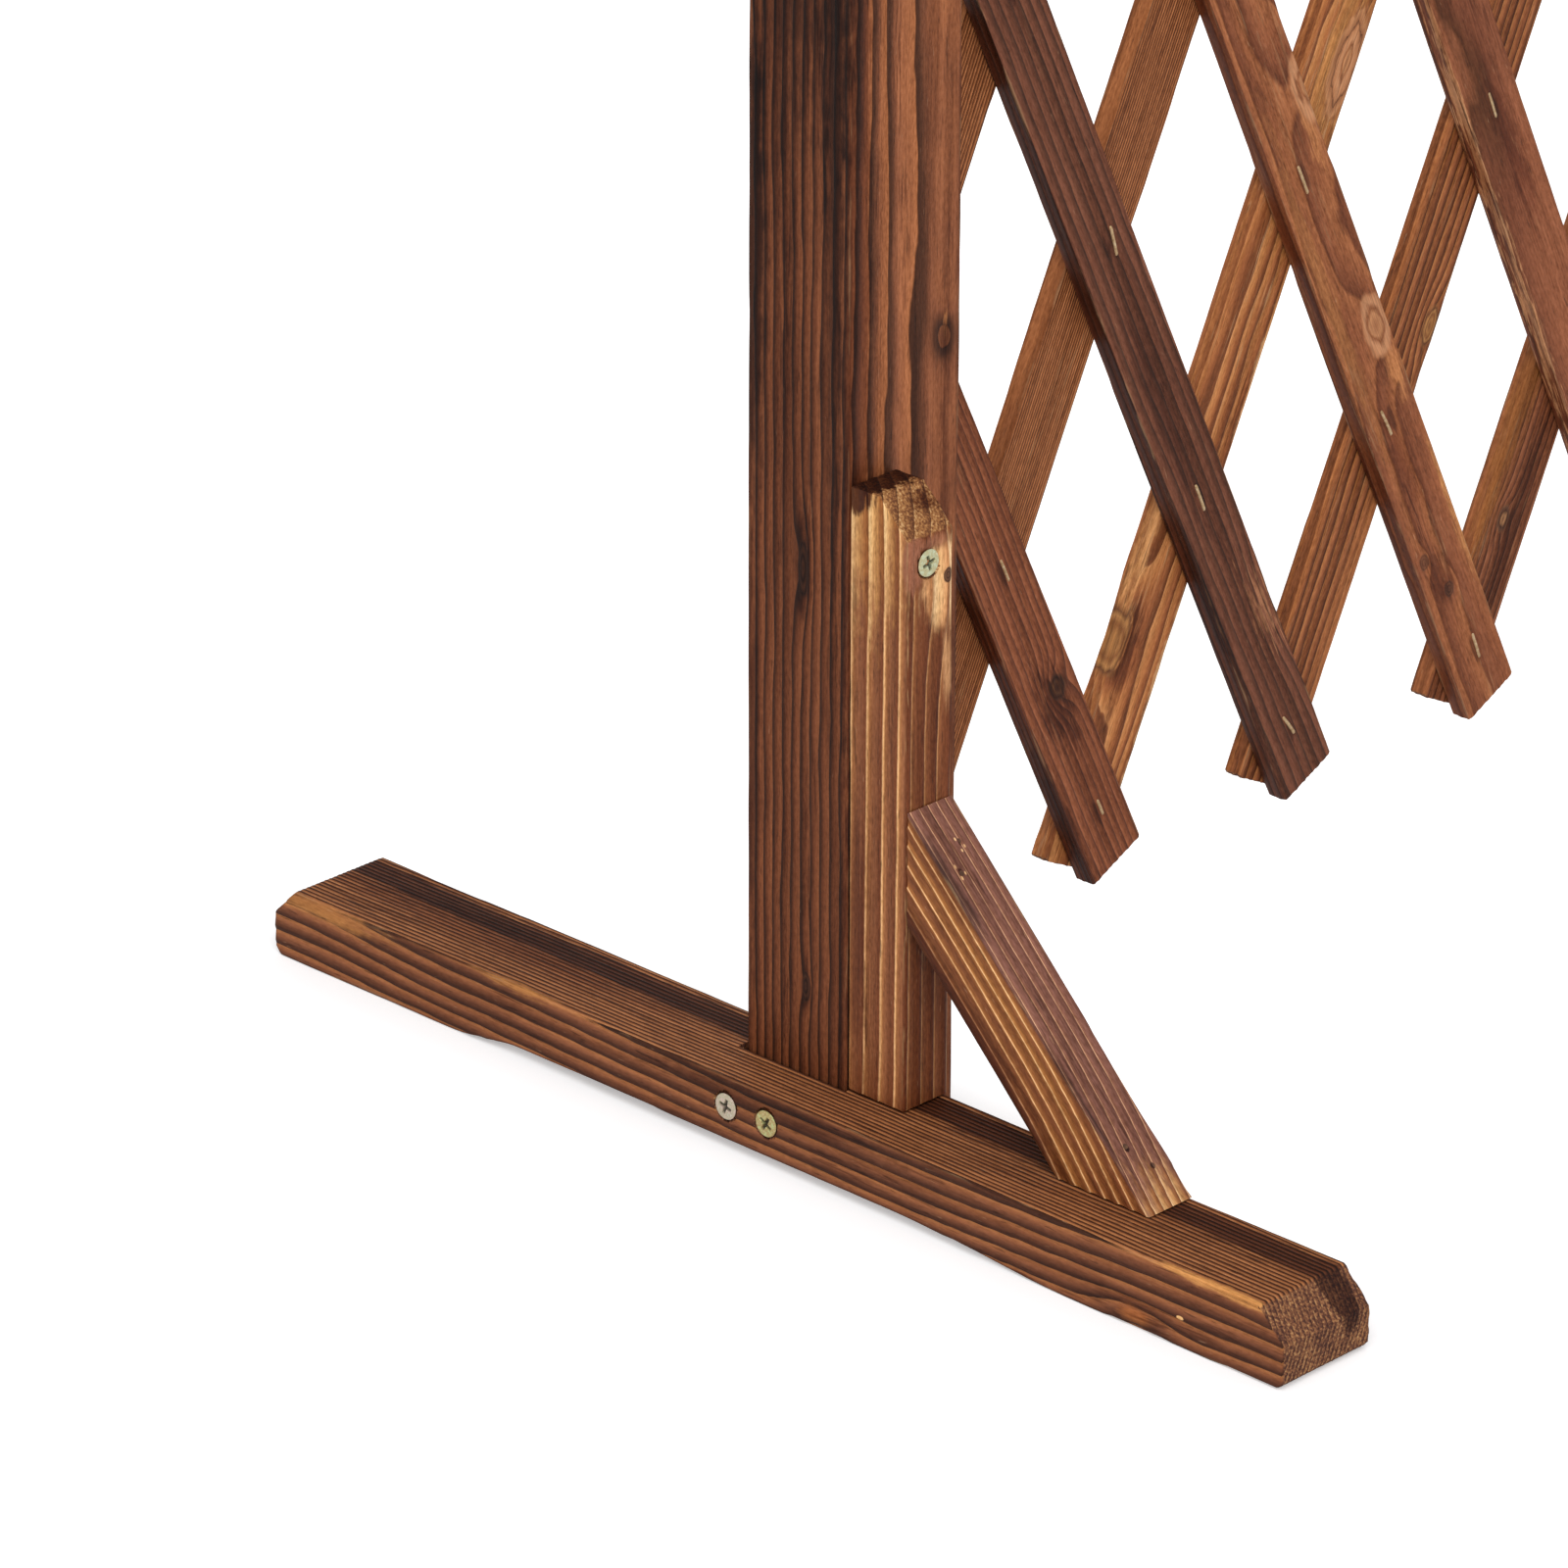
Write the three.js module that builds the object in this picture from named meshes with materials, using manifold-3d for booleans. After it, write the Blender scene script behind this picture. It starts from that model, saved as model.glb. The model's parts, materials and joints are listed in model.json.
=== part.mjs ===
// An expandable wooden trellis: a scissor lattice of thin slats between two
// grooved posts, each post let into a long foot and steadied by a block and a brace.
// Millimetres, +Z up. X runs along the fence, the braces stand on the -Y side.
// The origin is on the ground, midway between the posts, under their centre line.

import * as THREE from 'three';
import { mergeVertices } from 'three/addons/utils/BufferGeometryUtils.js';
import Module from 'manifold-3d';

const wasm = await Module();
wasm.setup();

// Counts and angles of the lattice
const columnSteps = 16;
const rowSteps = 8;
const pinnedRow = 2;
const restLean = THREE.MathUtils.degToRad(25.9);

// Slats
const slatWidth = 28.5;
const slatThickness = 8.5;
const slatEase = 0.6;
const slatGap = 0.3;
const slatTail = 18.5;
const pivotSpacing = 121;
const bottomPivotHeight = 77.5;

// Clinched wire nails that join the slats
const nailWire = 1.4;
const nailRunningClearance = 0.4;
const nailHeadDiameter = 4.5;
const nailHeadThickness = 0.8;
const nailHeadLift = 0.3;
const clinchLength = 9;
const clinchTip = 0.5;
const clinchRise = 0.8;
const clinchSink = 0.6;
const clinchTaperShare = 0.6;

// Posts
const postHeight = 1000;
const postDepth = 49;
const postSetback = 22;
const postEase = 1;
const webThickness = 21.5;
const pivotInset = 9.9;
const grooveEndClearance = 0.6;
const grooveSideClearance = 0.7;

// Feet
const footWidth = 45;
const footHeight = 29;
const footLength = 500;
const footBevel = 12;
const footToeChamfer = 3;
const footEase = 1;
const notchSlack = 3.5;

// The foot's underside is hollowed between two bearing ends, so that it can't rock
const footHollow = 4;
const bearingLength = 96;
const hollowRearRun = 34;
const hollowFrontRun = 88;
const hollowSteps = 6;

// Blocks and braces
const blockDepth = 28;
const blockHeight = 230;
const blockBevel = 14;
const blockEase = 0.8;
const braceRise = 116;
const braceThickness = 31;
const braceSlope = THREE.MathUtils.degToRad(45);

// Countersunk cross-head screws
const screwHead = 10;
const screwHeadDepth = 4;
const screwRim = 0.5;
const screwShank = 4.4;
const screwPoint = 6;
const screwSink = 0.2;
const recessSpan = 5.2;
const recessWidth = 1.3;
const recessDepth = 2.6;
const footScrewLength = 40;
const blockScrewLength = 45;
const baseScrewLength = 50;
const footScrewHeight = 16.8;
const footScrewSpacing = 20;
const footScrewFromPostRear = 10.5;
const blockScrewBelowBevel = 10;

// Brads through the brace and the long pin through the groove
const bradWire = 1.5;
const bradHead = 2.4;
const bradHeadThickness = 0.6;
const bradLength = 35;
const bradPoint = 3;
const upperBradSetbacks = [16, 27];
const lowerBradSetbacks = [16, 26];
const bradPlaceShares = [0.62, 0.34];
const pinWire = 2.8;
const pinHead = 6;
const pinHeadThickness = 1.2;
const pinPoint = 5;

// Fits and the extra reach of every cut
const jointGap = 0.3;
const overrun = 5;

// Facets round the turned pieces
const screwSides = 12;
const wireSides = 8;
const latticeNailSides = 6;

// Sizes that follow from the ones above
const columnPitch = pivotSpacing * Math.sin(restLean);
const rowPitch = pivotSpacing * Math.cos(restLean);
const halfSpan = columnPitch * columnSteps / 2;
const layerNear = slatGap / 2;
const layerFar = layerNear + slatThickness;
const nailProud = Math.max(nailHeadLift + nailHeadThickness, clinchRise);
const grooveHalfWidth = layerFar + nailProud + grooveSideClearance;
const tailReach = Math.hypot(slatTail, slatWidth / 2);
const grooveDepth = pivotInset + tailReach + grooveEndClearance;
const blockWidth = footWidth - postSetback;
const postWidth = webThickness + grooveDepth;
const halfWidth = halfSpan + postSetback + postWidth - pivotInset;
const postFront = -postDepth / 2;
const postRear = postDepth / 2;
const standHeight = footHeight + jointGap;
const blockRear = postFront - jointGap;
const blockFront = blockRear - blockDepth;
const blockTop = standHeight + blockHeight;
const bevelFoot = blockTop - blockBevel;
const braceBack = blockFront - jointGap;
const braceTop = footHeight + braceRise;
const braceCut = braceThickness / Math.cos(braceSlope);

const X = new THREE.Vector3(1, 0, 0);
const Y = new THREE.Vector3(0, 1, 0);
const Z = new THREE.Vector3(0, 0, 1);

// Finishes: scorched and brushed softwood, yellow-passivated steel and bright wire
function wood(colour, roughness) {
  return new THREE.MeshStandardMaterial({ color: colour, roughness, metalness: 0 });
}

const postWood = wood(0x5c3527, 0.62);
const footWood = wood(0x6b3c26, 0.6);
const blockWood = wood(0xa8744a, 0.55);
const braceWood = wood(0x93593a, 0.55);
const frontSlatWood = wood(0x7d4a33, 0.6);
const backSlatWood = wood(0x8d5738, 0.6);
const screwSteel = new THREE.MeshStandardMaterial({ color: 0xcfc58e, roughness: 0.32, metalness: 0.9 });
const wireSteel = new THREE.MeshStandardMaterial({ color: 0xc9b48a, roughness: 0.4, metalness: 0.85 });

// A closed three.js geometry as a solid that can be cut and joined
function solidOf(geometry) {
  const bare = geometry.clone();
  bare.deleteAttribute('normal');
  bare.deleteAttribute('uv');
  const merged = mergeVertices(bare);
  const corners = merged.index.array;
  const kept = [];
  for (let i = 0; i < corners.length; i += 3) {
    const [a, b, c] = corners.slice(i, i + 3);
    if (a !== b && b !== c && c !== a) kept.push(a, b, c);
  }
  return new wasm.Manifold(new wasm.Mesh({
    numProp: 3,
    vertProperties: merged.attributes.position.array,
    triVerts: Uint32Array.from(kept),
  }));
}

// The solid back as a geometry that a mesh can show
function geometryOf(solid) {
  const mesh = solid.getMesh();
  const geometry = new THREE.BufferGeometry();
  geometry.setAttribute('position', new THREE.BufferAttribute(mesh.vertProperties, mesh.numProp));
  geometry.setIndex(new THREE.BufferAttribute(mesh.triVerts, 1));
  geometry.computeVertexNormals();
  return geometry;
}

function piece(name, solid, material) {
  const mesh = new THREE.Mesh(geometryOf(solid), material);
  mesh.name = name;
  return mesh;
}

// An outline drawn in two axes and drawn out along the third.
// Along X the outline's points are (y, z), along Y they are (x, z), along Z they are (x, y).
function prism(outline, along, from, to) {
  const shape = new THREE.Shape(outline.map(([u, v]) => new THREE.Vector2(u, v)));
  const geometry = new THREE.ExtrudeGeometry(shape, { depth: to - from, bevelEnabled: false });
  const basis = new THREE.Matrix4();
  if (along === X) basis.makeBasis(Y, Z, X).setPosition(from, 0, 0);
  if (along === Y) basis.makeBasis(X, Z, Y.clone().negate()).setPosition(0, to, 0);
  if (along === Z) basis.makeBasis(X, Y, Z).setPosition(0, 0, from);
  return solidOf(geometry.applyMatrix4(basis));
}

// A rectangle between two corners whose own corners are cut by the ease
function easedRectangle(u0, v0, u1, v1, ease) {
  const [left, right] = [Math.min(u0, u1), Math.max(u0, u1)];
  const [low, high] = [Math.min(v0, v1), Math.max(v0, v1)];
  return [
    [left + ease, low], [right - ease, low], [right, low + ease], [right, high - ease],
    [right - ease, high], [left + ease, high], [left, high - ease], [left, low + ease],
  ];
}

function box(x0, y0, z0, x1, y1, z1) {
  return prism([[x0, y0], [x1, y0], [x1, y1], [x0, y1]], Z, z0, z1);
}

// A turned piece: points of (radius, height), the head's top at height zero, the point below
function turned(profile, sides) {
  const points = profile.map(([radius, height]) => new THREE.Vector2(radius, height));
  return new THREE.LatheGeometry(points, sides);
}

// Sets a turned piece with its head at a place, facing outwards
function setting(at, out) {
  const turn = new THREE.Quaternion().setFromUnitVectors(Y, out);
  return new THREE.Matrix4().compose(at, turn, new THREE.Vector3(1, 1, 1));
}

// A countersunk screw, or with a clearance the hole that it sits in
function screwProfile(length, clearance) {
  const head = screwHead / 2 + clearance;
  const shank = screwShank / 2 + clearance;
  const top = clearance > 0 ? overrun : 0;
  return [
    [0, -length - clearance],
    [shank, -length + screwPoint],
    [shank, -screwHeadDepth],
    [head, -screwRim - clearance],
    [head, top],
    [0, top],
  ];
}

// A wire nail with a flat head and a point, or the hole for it
function nailProfile(wire, head, thickness, length, point, clearance) {
  const top = clearance > 0 ? overrun : 0;
  return [
    [0, -length - clearance],
    [wire / 2 + clearance, -length + point],
    [wire / 2 + clearance, -thickness - clearance],
    [head / 2 + clearance, -thickness - clearance],
    [head / 2 + clearance, top],
    [0, top],
  ];
}

function crossRecess() {
  const arm = recessSpan / 2;
  const half = recessWidth / 2;
  const along = box(-arm, -recessDepth, -half, arm, overrun, half);
  return along.add(box(-half, -recessDepth, -arm, half, overrun, arm));
}

// One fastener: its solid at home, its hole, and where it is set
function screw(length, at, out) {
  return {
    solid: solidOf(turned(screwProfile(length, 0), screwSides)).subtract(crossRecess()),
    hole: turned(screwProfile(length, jointGap), screwSides),
    at: at.clone().addScaledVector(out, -screwSink),
    out,
    material: screwSteel,
  };
}

function nail(wire, head, thickness, length, point, at, out) {
  return {
    solid: solidOf(turned(nailProfile(wire, head, thickness, length, point, 0), wireSides)),
    hole: turned(nailProfile(wire, head, thickness, length, point, jointGap), wireSides),
    at: at.clone().addScaledVector(out, -screwSink),
    out,
    material: wireSteel,
  };
}

function fastenerMesh(name, fastener) {
  const mesh = piece(name, fastener.solid, fastener.material);
  mesh.applyMatrix4(setting(fastener.at, fastener.out));
  return mesh;
}

function drilled(solid, fasteners) {
  return fasteners.reduce((left, { hole, at, out }) => {
    return left.subtract(solidOf(hole.clone().applyMatrix4(setting(at, out))));
  }, solid);
}

// The fasteners of one end frame. side is -1 at the left and +1 at the right,
// and a distance is measured inwards from the foot's outer face.
function frameFasteners(side) {
  const across = (distance) => side * (halfWidth - distance);
  const outwards = X.clone().multiplyScalar(side);
  const front = Y.clone().negate();
  const down = Z.clone().negate();
  const uphill = new THREE.Vector3(0, -Math.sin(braceSlope), Math.cos(braceSlope));
  const downhill = new THREE.Vector3(0, -Math.cos(braceSlope), -Math.sin(braceSlope));
  const webCentre = across(postSetback + webThickness / 2);
  const rearScrew = postRear - footScrewFromPostRear;
  const braceHead = new THREE.Vector3(0, braceBack, braceTop);
  const braceFaceLength = (braceTop - standHeight) / Math.sin(braceSlope);

  const brad = (share, distance) => {
    const at = braceHead.clone().addScaledVector(downhill, distance);
    at.x = across(postSetback + blockWidth * share);
    return nail(bradWire, bradHead, bradHeadThickness, bradLength, bradPoint, at, uphill);
  };

  return {
    foot_screw_rear: screw(footScrewLength, new THREE.Vector3(across(0), rearScrew, footScrewHeight), outwards),
    foot_screw_front: screw(
      footScrewLength,
      new THREE.Vector3(across(0), rearScrew - footScrewSpacing, footScrewHeight),
      outwards,
    ),
    block_screw: screw(
      blockScrewLength,
      new THREE.Vector3(webCentre, blockFront, bevelFoot - blockScrewBelowBevel),
      front,
    ),
    base_screw: screw(
      baseScrewLength,
      new THREE.Vector3(webCentre, blockRear - blockDepth / 2, footHollow),
      down,
    ),
    upper_brad_1: brad(bradPlaceShares[0], upperBradSetbacks[0]),
    upper_brad_2: brad(bradPlaceShares[1], upperBradSetbacks[1]),
    lower_brad_1: brad(bradPlaceShares[0], braceFaceLength - lowerBradSetbacks[0]),
    lower_brad_2: brad(bradPlaceShares[1], braceFaceLength - lowerBradSetbacks[1]),
    lattice_pin: nail(
      pinWire,
      pinHead,
      pinHeadThickness,
      postDepth - screwSink,
      pinPoint,
      new THREE.Vector3(side * halfSpan, postRear, bottomPivotHeight + pinnedRow * rowPitch),
      Y,
    ),
  };
}

// A soft step of the foot's underside, from one place and height to another
function softStep(from, to, low, high) {
  return Array.from({ length: hollowSteps + 1 }, (_, i) => {
    const share = i / hollowSteps;
    return [
      THREE.MathUtils.lerp(from, to, share),
      THREE.MathUtils.lerp(low, high, THREE.MathUtils.smoothstep(share, 0, 1)),
    ];
  });
}

// The foot: a bar bevelled at both ends and hollowed below, notched on its inner side for the post
function footSolid(side, fasteners) {
  const half = footLength / 2;
  const bearing = half - bearingLength;
  const along = prism([
    [-half + footToeChamfer, 0],
    ...softStep(-bearing, -bearing + hollowFrontRun, 0, footHollow),
    ...softStep(bearing - hollowRearRun, bearing, footHollow, 0),
    [half - footToeChamfer, 0],
    [half, footToeChamfer],
    [half, footHeight - footBevel],
    [half - footBevel, footHeight],
    [-half + footBevel, footHeight],
    [-half, footHeight - footBevel],
    [-half, footToeChamfer],
  ], X, -footWidth / 2, footWidth / 2);
  const section = easedRectangle(-footWidth / 2, 0, footWidth / 2, footHeight, footEase);
  const bar = along.intersect(prism(section, Y, -footLength, footLength));
  const placed = bar.translate([side * (halfWidth - footWidth / 2), 0, 0]);
  const notch = box(
    side * (halfWidth - postSetback + jointGap), postFront - jointGap, -overrun,
    side * (halfWidth - footWidth - overrun), postRear + notchSlack, footHeight + overrun,
  );
  return drilled(placed.subtract(notch), fasteners);
}

// The post: a bar with a groove down its inner side, in which the lattice's ends ride
function postSolid(side, fasteners) {
  const outer = postSetback;
  const inner = postSetback + postWidth;
  const floor = inner - grooveDepth;
  const outline = [
    [outer + postEase, postFront],
    [inner - postEase, postFront],
    [inner, postFront + postEase],
    [inner, -grooveHalfWidth],
    [floor, -grooveHalfWidth],
    [floor, grooveHalfWidth],
    [inner, grooveHalfWidth],
    [inner, postRear - postEase],
    [inner - postEase, postRear],
    [outer + postEase, postRear],
    [outer, postRear - postEase],
    [outer, postFront + postEase],
  ].map(([distance, y]) => [side * (halfWidth - distance), y]);
  return drilled(prism(outline, Z, footHollow, postHeight), fasteners);
}

// The block against the post's front, its top bevelled towards the front
function blockSolid(side, fasteners) {
  const near = side * (halfWidth - postSetback);
  const far = side * (halfWidth - footWidth);
  const profile = prism([
    [blockRear, standHeight],
    [blockRear, blockTop],
    [blockRear - (blockDepth - blockBevel), blockTop],
    [blockFront, bevelFoot],
    [blockFront, standHeight],
  ], X, Math.min(near, far), Math.max(near, far));
  const section = easedRectangle(near, blockFront, far, blockRear, blockEase);
  return drilled(profile.intersect(prism(section, Z, 0, blockTop + overrun)), fasteners);
}

// The brace: upright cut against the block, level cut on the foot
function braceSolid(side, fasteners) {
  const near = side * (halfWidth - postSetback);
  const far = side * (halfWidth - footWidth);
  const run = (height) => (height - standHeight) / Math.tan(braceSlope);
  return drilled(prism([
    [braceBack, braceTop],
    [braceBack, braceTop - braceCut],
    [braceBack - run(braceTop - braceCut), standHeight],
    [braceBack - run(braceTop), standHeight],
  ], X, Math.min(near, far), Math.max(near, far)), fasteners);
}

function endFrame(label, side) {
  const fasteners = frameFasteners(side);
  const pick = (...names) => names.map((name) => fasteners[name]);
  const brads = ['upper_brad_1', 'upper_brad_2', 'lower_brad_1', 'lower_brad_2'];
  const footParts = pick('foot_screw_rear', 'foot_screw_front', 'base_screw', ...brads.slice(2));
  const postParts = pick('foot_screw_rear', 'foot_screw_front', 'block_screw', 'lattice_pin');
  const blockParts = pick('block_screw', 'base_screw', ...brads.slice(0, 2));
  const frame = new THREE.Group();
  frame.add(
    piece(`${label}_foot`, footSolid(side, footParts), footWood),
    piece(`${label}_post`, postSolid(side, postParts), postWood),
    piece(`${label}_block`, blockSolid(side, blockParts), blockWood),
    piece(`${label}_brace`, braceSolid(side, pick(...brads)), braceWood),
  );
  for (const [name, fastener] of Object.entries(fasteners)) {
    frame.add(fastenerMesh(`${label}_${name}`, fastener));
  }
  return frame;
}

// Where the nails of the lattice lie: column and row counted from the bottom left,
// only where their sum is even. leaning is +1 for slats that rise to the right.
function crossings(leaning, line) {
  const places = [];
  for (let row = 0; row <= rowSteps; row += 1) {
    const column = leaning > 0 ? line * 2 + row : line * 2 - row;
    if (column >= 0 && column <= columnSteps) places.push({ column, row });
  }
  return places;
}

const isPinned = ({ column, row }) => row === pinnedRow && (column === 0 || column === columnSteps);
const isCorner = ({ column, row }) => column % columnSteps === 0 && row % rowSteps === 0;

// A slat stands along Z with its lowest nail at the origin, ready to be leaned over
function bareSlat(places, yNear, yFar) {
  const length = pivotSpacing * (places.length - 1);
  const section = easedRectangle(-slatWidth / 2, yNear, slatWidth / 2, yFar, slatEase);
  return prism(section, Z, -slatTail, length + slatTail);
}

// A round bar along Y at a height
function crossBar(diameter, yFrom, yTo, height) {
  const bar = new THREE.CylinderGeometry(diameter / 2, diameter / 2, yTo - yFrom, latticeNailSides);
  return solidOf(bar.translate(0, (yFrom + yTo) / 2, height));
}

// The clinched nail: a head behind the back slat, a straight wire through both slats,
// and the point bent over flat on the front slat's face, upwards along its grain
function clinchedNail(height) {
  const headNear = layerFar + nailHeadLift;
  const wire = crossBar(nailWire, -(layerNear + slatThickness / 2), headNear + nailHeadThickness / 2, height);
  const head = crossBar(nailHeadDiameter, headNear, headNear + nailHeadThickness, height);
  const half = nailWire / 2;
  const taper = height + clinchLength * clinchTaperShare;
  const point = prism([
    [-half, height - half],
    [half, height - half],
    [half, taper],
    [clinchTip / 2, height + clinchLength],
    [-clinchTip / 2, height + clinchLength],
    [-half, taper],
  ], Y, -layerFar - clinchRise, -layerFar + clinchSink);
  return wire.add(head).add(point);
}

function frontSlat(places) {
  const blank = bareSlat(places, -layerFar, -layerNear);
  return places.reduce((solid, place, index) => {
    const height = pivotSpacing * index;
    if (isCorner(place)) return solid;
    if (isPinned(place)) return solid.subtract(holeAt(pinWire, height));
    return solid.add(clinchedNail(height));
  }, blank);
}

function backSlat(places) {
  const blank = bareSlat(places, layerNear, layerFar);
  return places.reduce((solid, place, index) => {
    const height = pivotSpacing * index;
    if (isCorner(place)) return solid;
    return solid.subtract(holeAt(isPinned(place) ? pinWire : nailWire, height));
  }, blank);
}

function holeAt(wire, height) {
  const reach = layerFar + overrun;
  return crossBar(wire + 2 * nailRunningClearance, -reach, reach, height);
}

// One layer of the lattice, its slats numbered from the left
function layer(label, leaning, makeSlat, material) {
  const group = new THREE.Group();
  const first = leaning > 0 ? 1 - rowSteps / 2 : 1;
  const last = leaning > 0 ? columnSteps / 2 - 1 : (columnSteps + rowSteps) / 2 - 1;
  for (let line = first; line <= last; line += 1) {
    const places = crossings(leaning, line);
    const foot = places[0];
    const slat = piece(`${label}_${line - first + 1}`, makeSlat(places), material);
    slat.position.set(
      -halfSpan + foot.column * columnPitch,
      0,
      bottomPivotHeight + foot.row * rowPitch,
    );
    slat.rotation.y = leaning * restLean;
    group.add(slat);
  }
  return group;
}

const trellis = new THREE.Group();
trellis.add(
  endFrame('left', -1),
  endFrame('right', 1),
  layer('front_slat', -1, frontSlat, frontSlatWood),
  layer('back_slat', 1, backSlat, backSlatWood),
);

export default trellis;
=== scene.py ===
# %% [markdown]
# # An expandable wooden trellis
# Two end frames hold a scissor lattice of thin fir slats. Each end frame is a grooved post let into a
# long foot, with a short block and a slanting brace in front of it. All of the wood has been scorched
# with a flame and then brushed, which wears the soft part of every growth ring away and leaves the
# hard part standing as a ridge. The lesson builds that wood once, as a formula, and uses it twice: in
# Geometry Nodes it lifts real ridges out of the mesh, and in the shader it colours them.

import json
import math
import random
from types import SimpleNamespace

import bpy
import numpy as np
from mathutils import Matrix, Vector


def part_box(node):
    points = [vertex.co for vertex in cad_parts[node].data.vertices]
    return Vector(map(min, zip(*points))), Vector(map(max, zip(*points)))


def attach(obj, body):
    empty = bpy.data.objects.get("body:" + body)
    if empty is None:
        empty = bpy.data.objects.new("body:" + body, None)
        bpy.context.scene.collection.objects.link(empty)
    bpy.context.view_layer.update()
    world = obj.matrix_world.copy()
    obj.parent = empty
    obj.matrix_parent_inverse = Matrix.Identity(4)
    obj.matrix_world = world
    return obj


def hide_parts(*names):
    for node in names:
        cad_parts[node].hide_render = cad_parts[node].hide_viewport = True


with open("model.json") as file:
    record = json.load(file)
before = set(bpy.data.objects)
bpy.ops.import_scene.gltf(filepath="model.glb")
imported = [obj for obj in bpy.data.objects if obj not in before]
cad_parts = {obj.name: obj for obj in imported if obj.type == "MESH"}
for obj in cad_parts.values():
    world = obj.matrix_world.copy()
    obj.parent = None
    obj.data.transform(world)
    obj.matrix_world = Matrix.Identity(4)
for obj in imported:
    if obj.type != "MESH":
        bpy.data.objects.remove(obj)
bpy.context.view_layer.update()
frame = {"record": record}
MM = 0.001

# %% [markdown]
# ## A camera at the photograph's angle
# The trellis was photographed from its left front and from above, with a long lens that shows only the
# lower left corner. A camera can be aimed by a constraint or by angles. Angles are used here, because
# they are what a photographer would note down: where the tripod stood, which way it faced, how far it
# was tipped, and the slight lean of the horizon.

# %% The camera
CAMERA_PLACE = (-2.48488, -1.95890, 1.38623)
CAMERA_HEADING = math.radians(45.740)
CAMERA_DIP = math.radians(23.913)
CAMERA_LEAN = math.radians(-0.11)
CAMERA_LENS = 201.76
CAMERA_SENSOR = 36.0

camera = bpy.data.objects.new("camera", bpy.data.cameras.new("camera"))
camera.data.lens = CAMERA_LENS
camera.data.sensor_width = CAMERA_SENSOR
camera.data.clip_end = 100
facing = Matrix.Rotation(-CAMERA_HEADING, 4, "Z") @ Matrix.Rotation(math.pi / 2 - CAMERA_DIP, 4, "X")
camera.matrix_world = Matrix.Translation(CAMERA_PLACE) @ facing @ Matrix.Rotation(-CAMERA_LEAN, 4, "Z")
bpy.context.collection.objects.link(camera)
bpy.context.scene.camera = camera
print("camera at", CAMERA_PLACE)

# %% [markdown]
# ## Working with nodes as with numbers
# Both the shader and the shape of the wood are long formulas. Placed by hand, each plus sign would be
# a node and two links. A small class wraps a socket instead, so that an expression on wires lays its
# own Math nodes, in a shader tree and in a Geometry Nodes tree alike. Every other node comes from one
# method, which takes the node's type, its settings and what its sockets hold.

# %% A wire that adds up
class Wire:
    """An output socket. Sums and products of wires lay the nodes that work them out."""

    def __init__(self, bench, socket):
        self.bench = bench
        self.socket = socket


def sign_method(operation, wire_first):
    """What Python calls for a sign with a wire on its left, or on its right."""
    def lay(wire, other):
        values = (wire, other) if wire_first else (other, wire)
        return wire.bench.math(operation, *values)
    return lay


for sign, operation in (("add", "ADD"), ("sub", "SUBTRACT"), ("mul", "MULTIPLY"), ("truediv", "DIVIDE")):
    setattr(Wire, f"__{sign}__", sign_method(operation, True))
    setattr(Wire, f"__r{sign}__", sign_method(operation, False))
print("a wire knows", [name for name in vars(Wire) if name.startswith("__r")])

# %% A bench to lay nodes on
SEED_STEP = 7.31


class Bench:
    """One node tree, and the few ways in which this lesson lays nodes in it."""

    def __init__(self, tree):
        self.tree = tree

    def node(self, kind, settings=None, inputs=None, output=0):
        made = self.tree.nodes.new(kind)
        for name, value in (settings or {}).items():
            if name == "stops":
                self.set_stops(made.color_ramp, value)
            elif name == "shade":
                made.outputs[0].default_value = value
            else:
                setattr(made, name, value)
        for key, value in (inputs or {}).items():
            if isinstance(value, Wire):
                self.tree.links.new(value.socket, made.inputs[key])
            else:
                made.inputs[key].default_value = value
        return Wire(self, made.outputs[output]) if len(made.outputs) else made

    def set_stops(self, ramp, stops):
        while len(ramp.elements) < len(stops):
            ramp.elements.new(1)
        for element, (place, code) in zip(ramp.elements, stops):
            element.position = place
            element.color = tint(code)

    def math(self, operation, *values):
        return self.node("ShaderNodeMath", {"operation": operation}, dict(enumerate(values)))

    def vector(self, operation, *values, output=0):
        return self.node("ShaderNodeVectorMath", {"operation": operation}, dict(enumerate(values)), output)

    def scaled(self, vector, factor):
        inputs = {"Vector": vector, "Scale": factor}
        return self.node("ShaderNodeVectorMath", {"operation": "SCALE"}, inputs)

    def dot(self, one, other):
        return self.vector("DOT_PRODUCT", one, other, output="Value")

    def joined(self, x, y, z):
        return self.node("ShaderNodeCombineXYZ", None, {"X": x, "Y": y, "Z": z})

    def parts(self, vector):
        split = self.node("ShaderNodeSeparateXYZ", None, {0: vector})
        return [Wire(self, socket) for socket in split.socket.node.outputs]

    def smooth(self, value, low, high):
        inputs = {"Value": value, "From Min": low, "From Max": high}
        return self.node("ShaderNodeMapRange", {"interpolation_type": "SMOOTHSTEP"}, inputs)

    def noise(self, place, reach, seed, detail=2.0):
        """Cloudy noise from 0 to 1 whose blobs are about a reach long in each direction."""
        stretched = self.vector("DIVIDE", place, reach)
        shift = seed * SEED_STEP
        shifted = self.vector("ADD", stretched, self.joined(shift, shift, shift))
        inputs = {"Vector": shifted, "Scale": 1.0, "Detail": detail, "Roughness": 0.55}
        return self.node("ShaderNodeTexNoise", {"noise_dimensions": "3D"}, inputs)

    def mix(self, one, other, factor, blend="MIX"):
        settings = {"data_type": "RGBA", "blend_type": blend}
        return self.node("ShaderNodeMix", settings, {0: factor, 6: one, 7: other}, output=2)


def emptied(owner):
    """A bench on a material's or a world's node tree, once what it came with is gone."""
    owner.use_nodes = True
    owner.node_tree.nodes.clear()
    return Bench(owner.node_tree)


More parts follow.
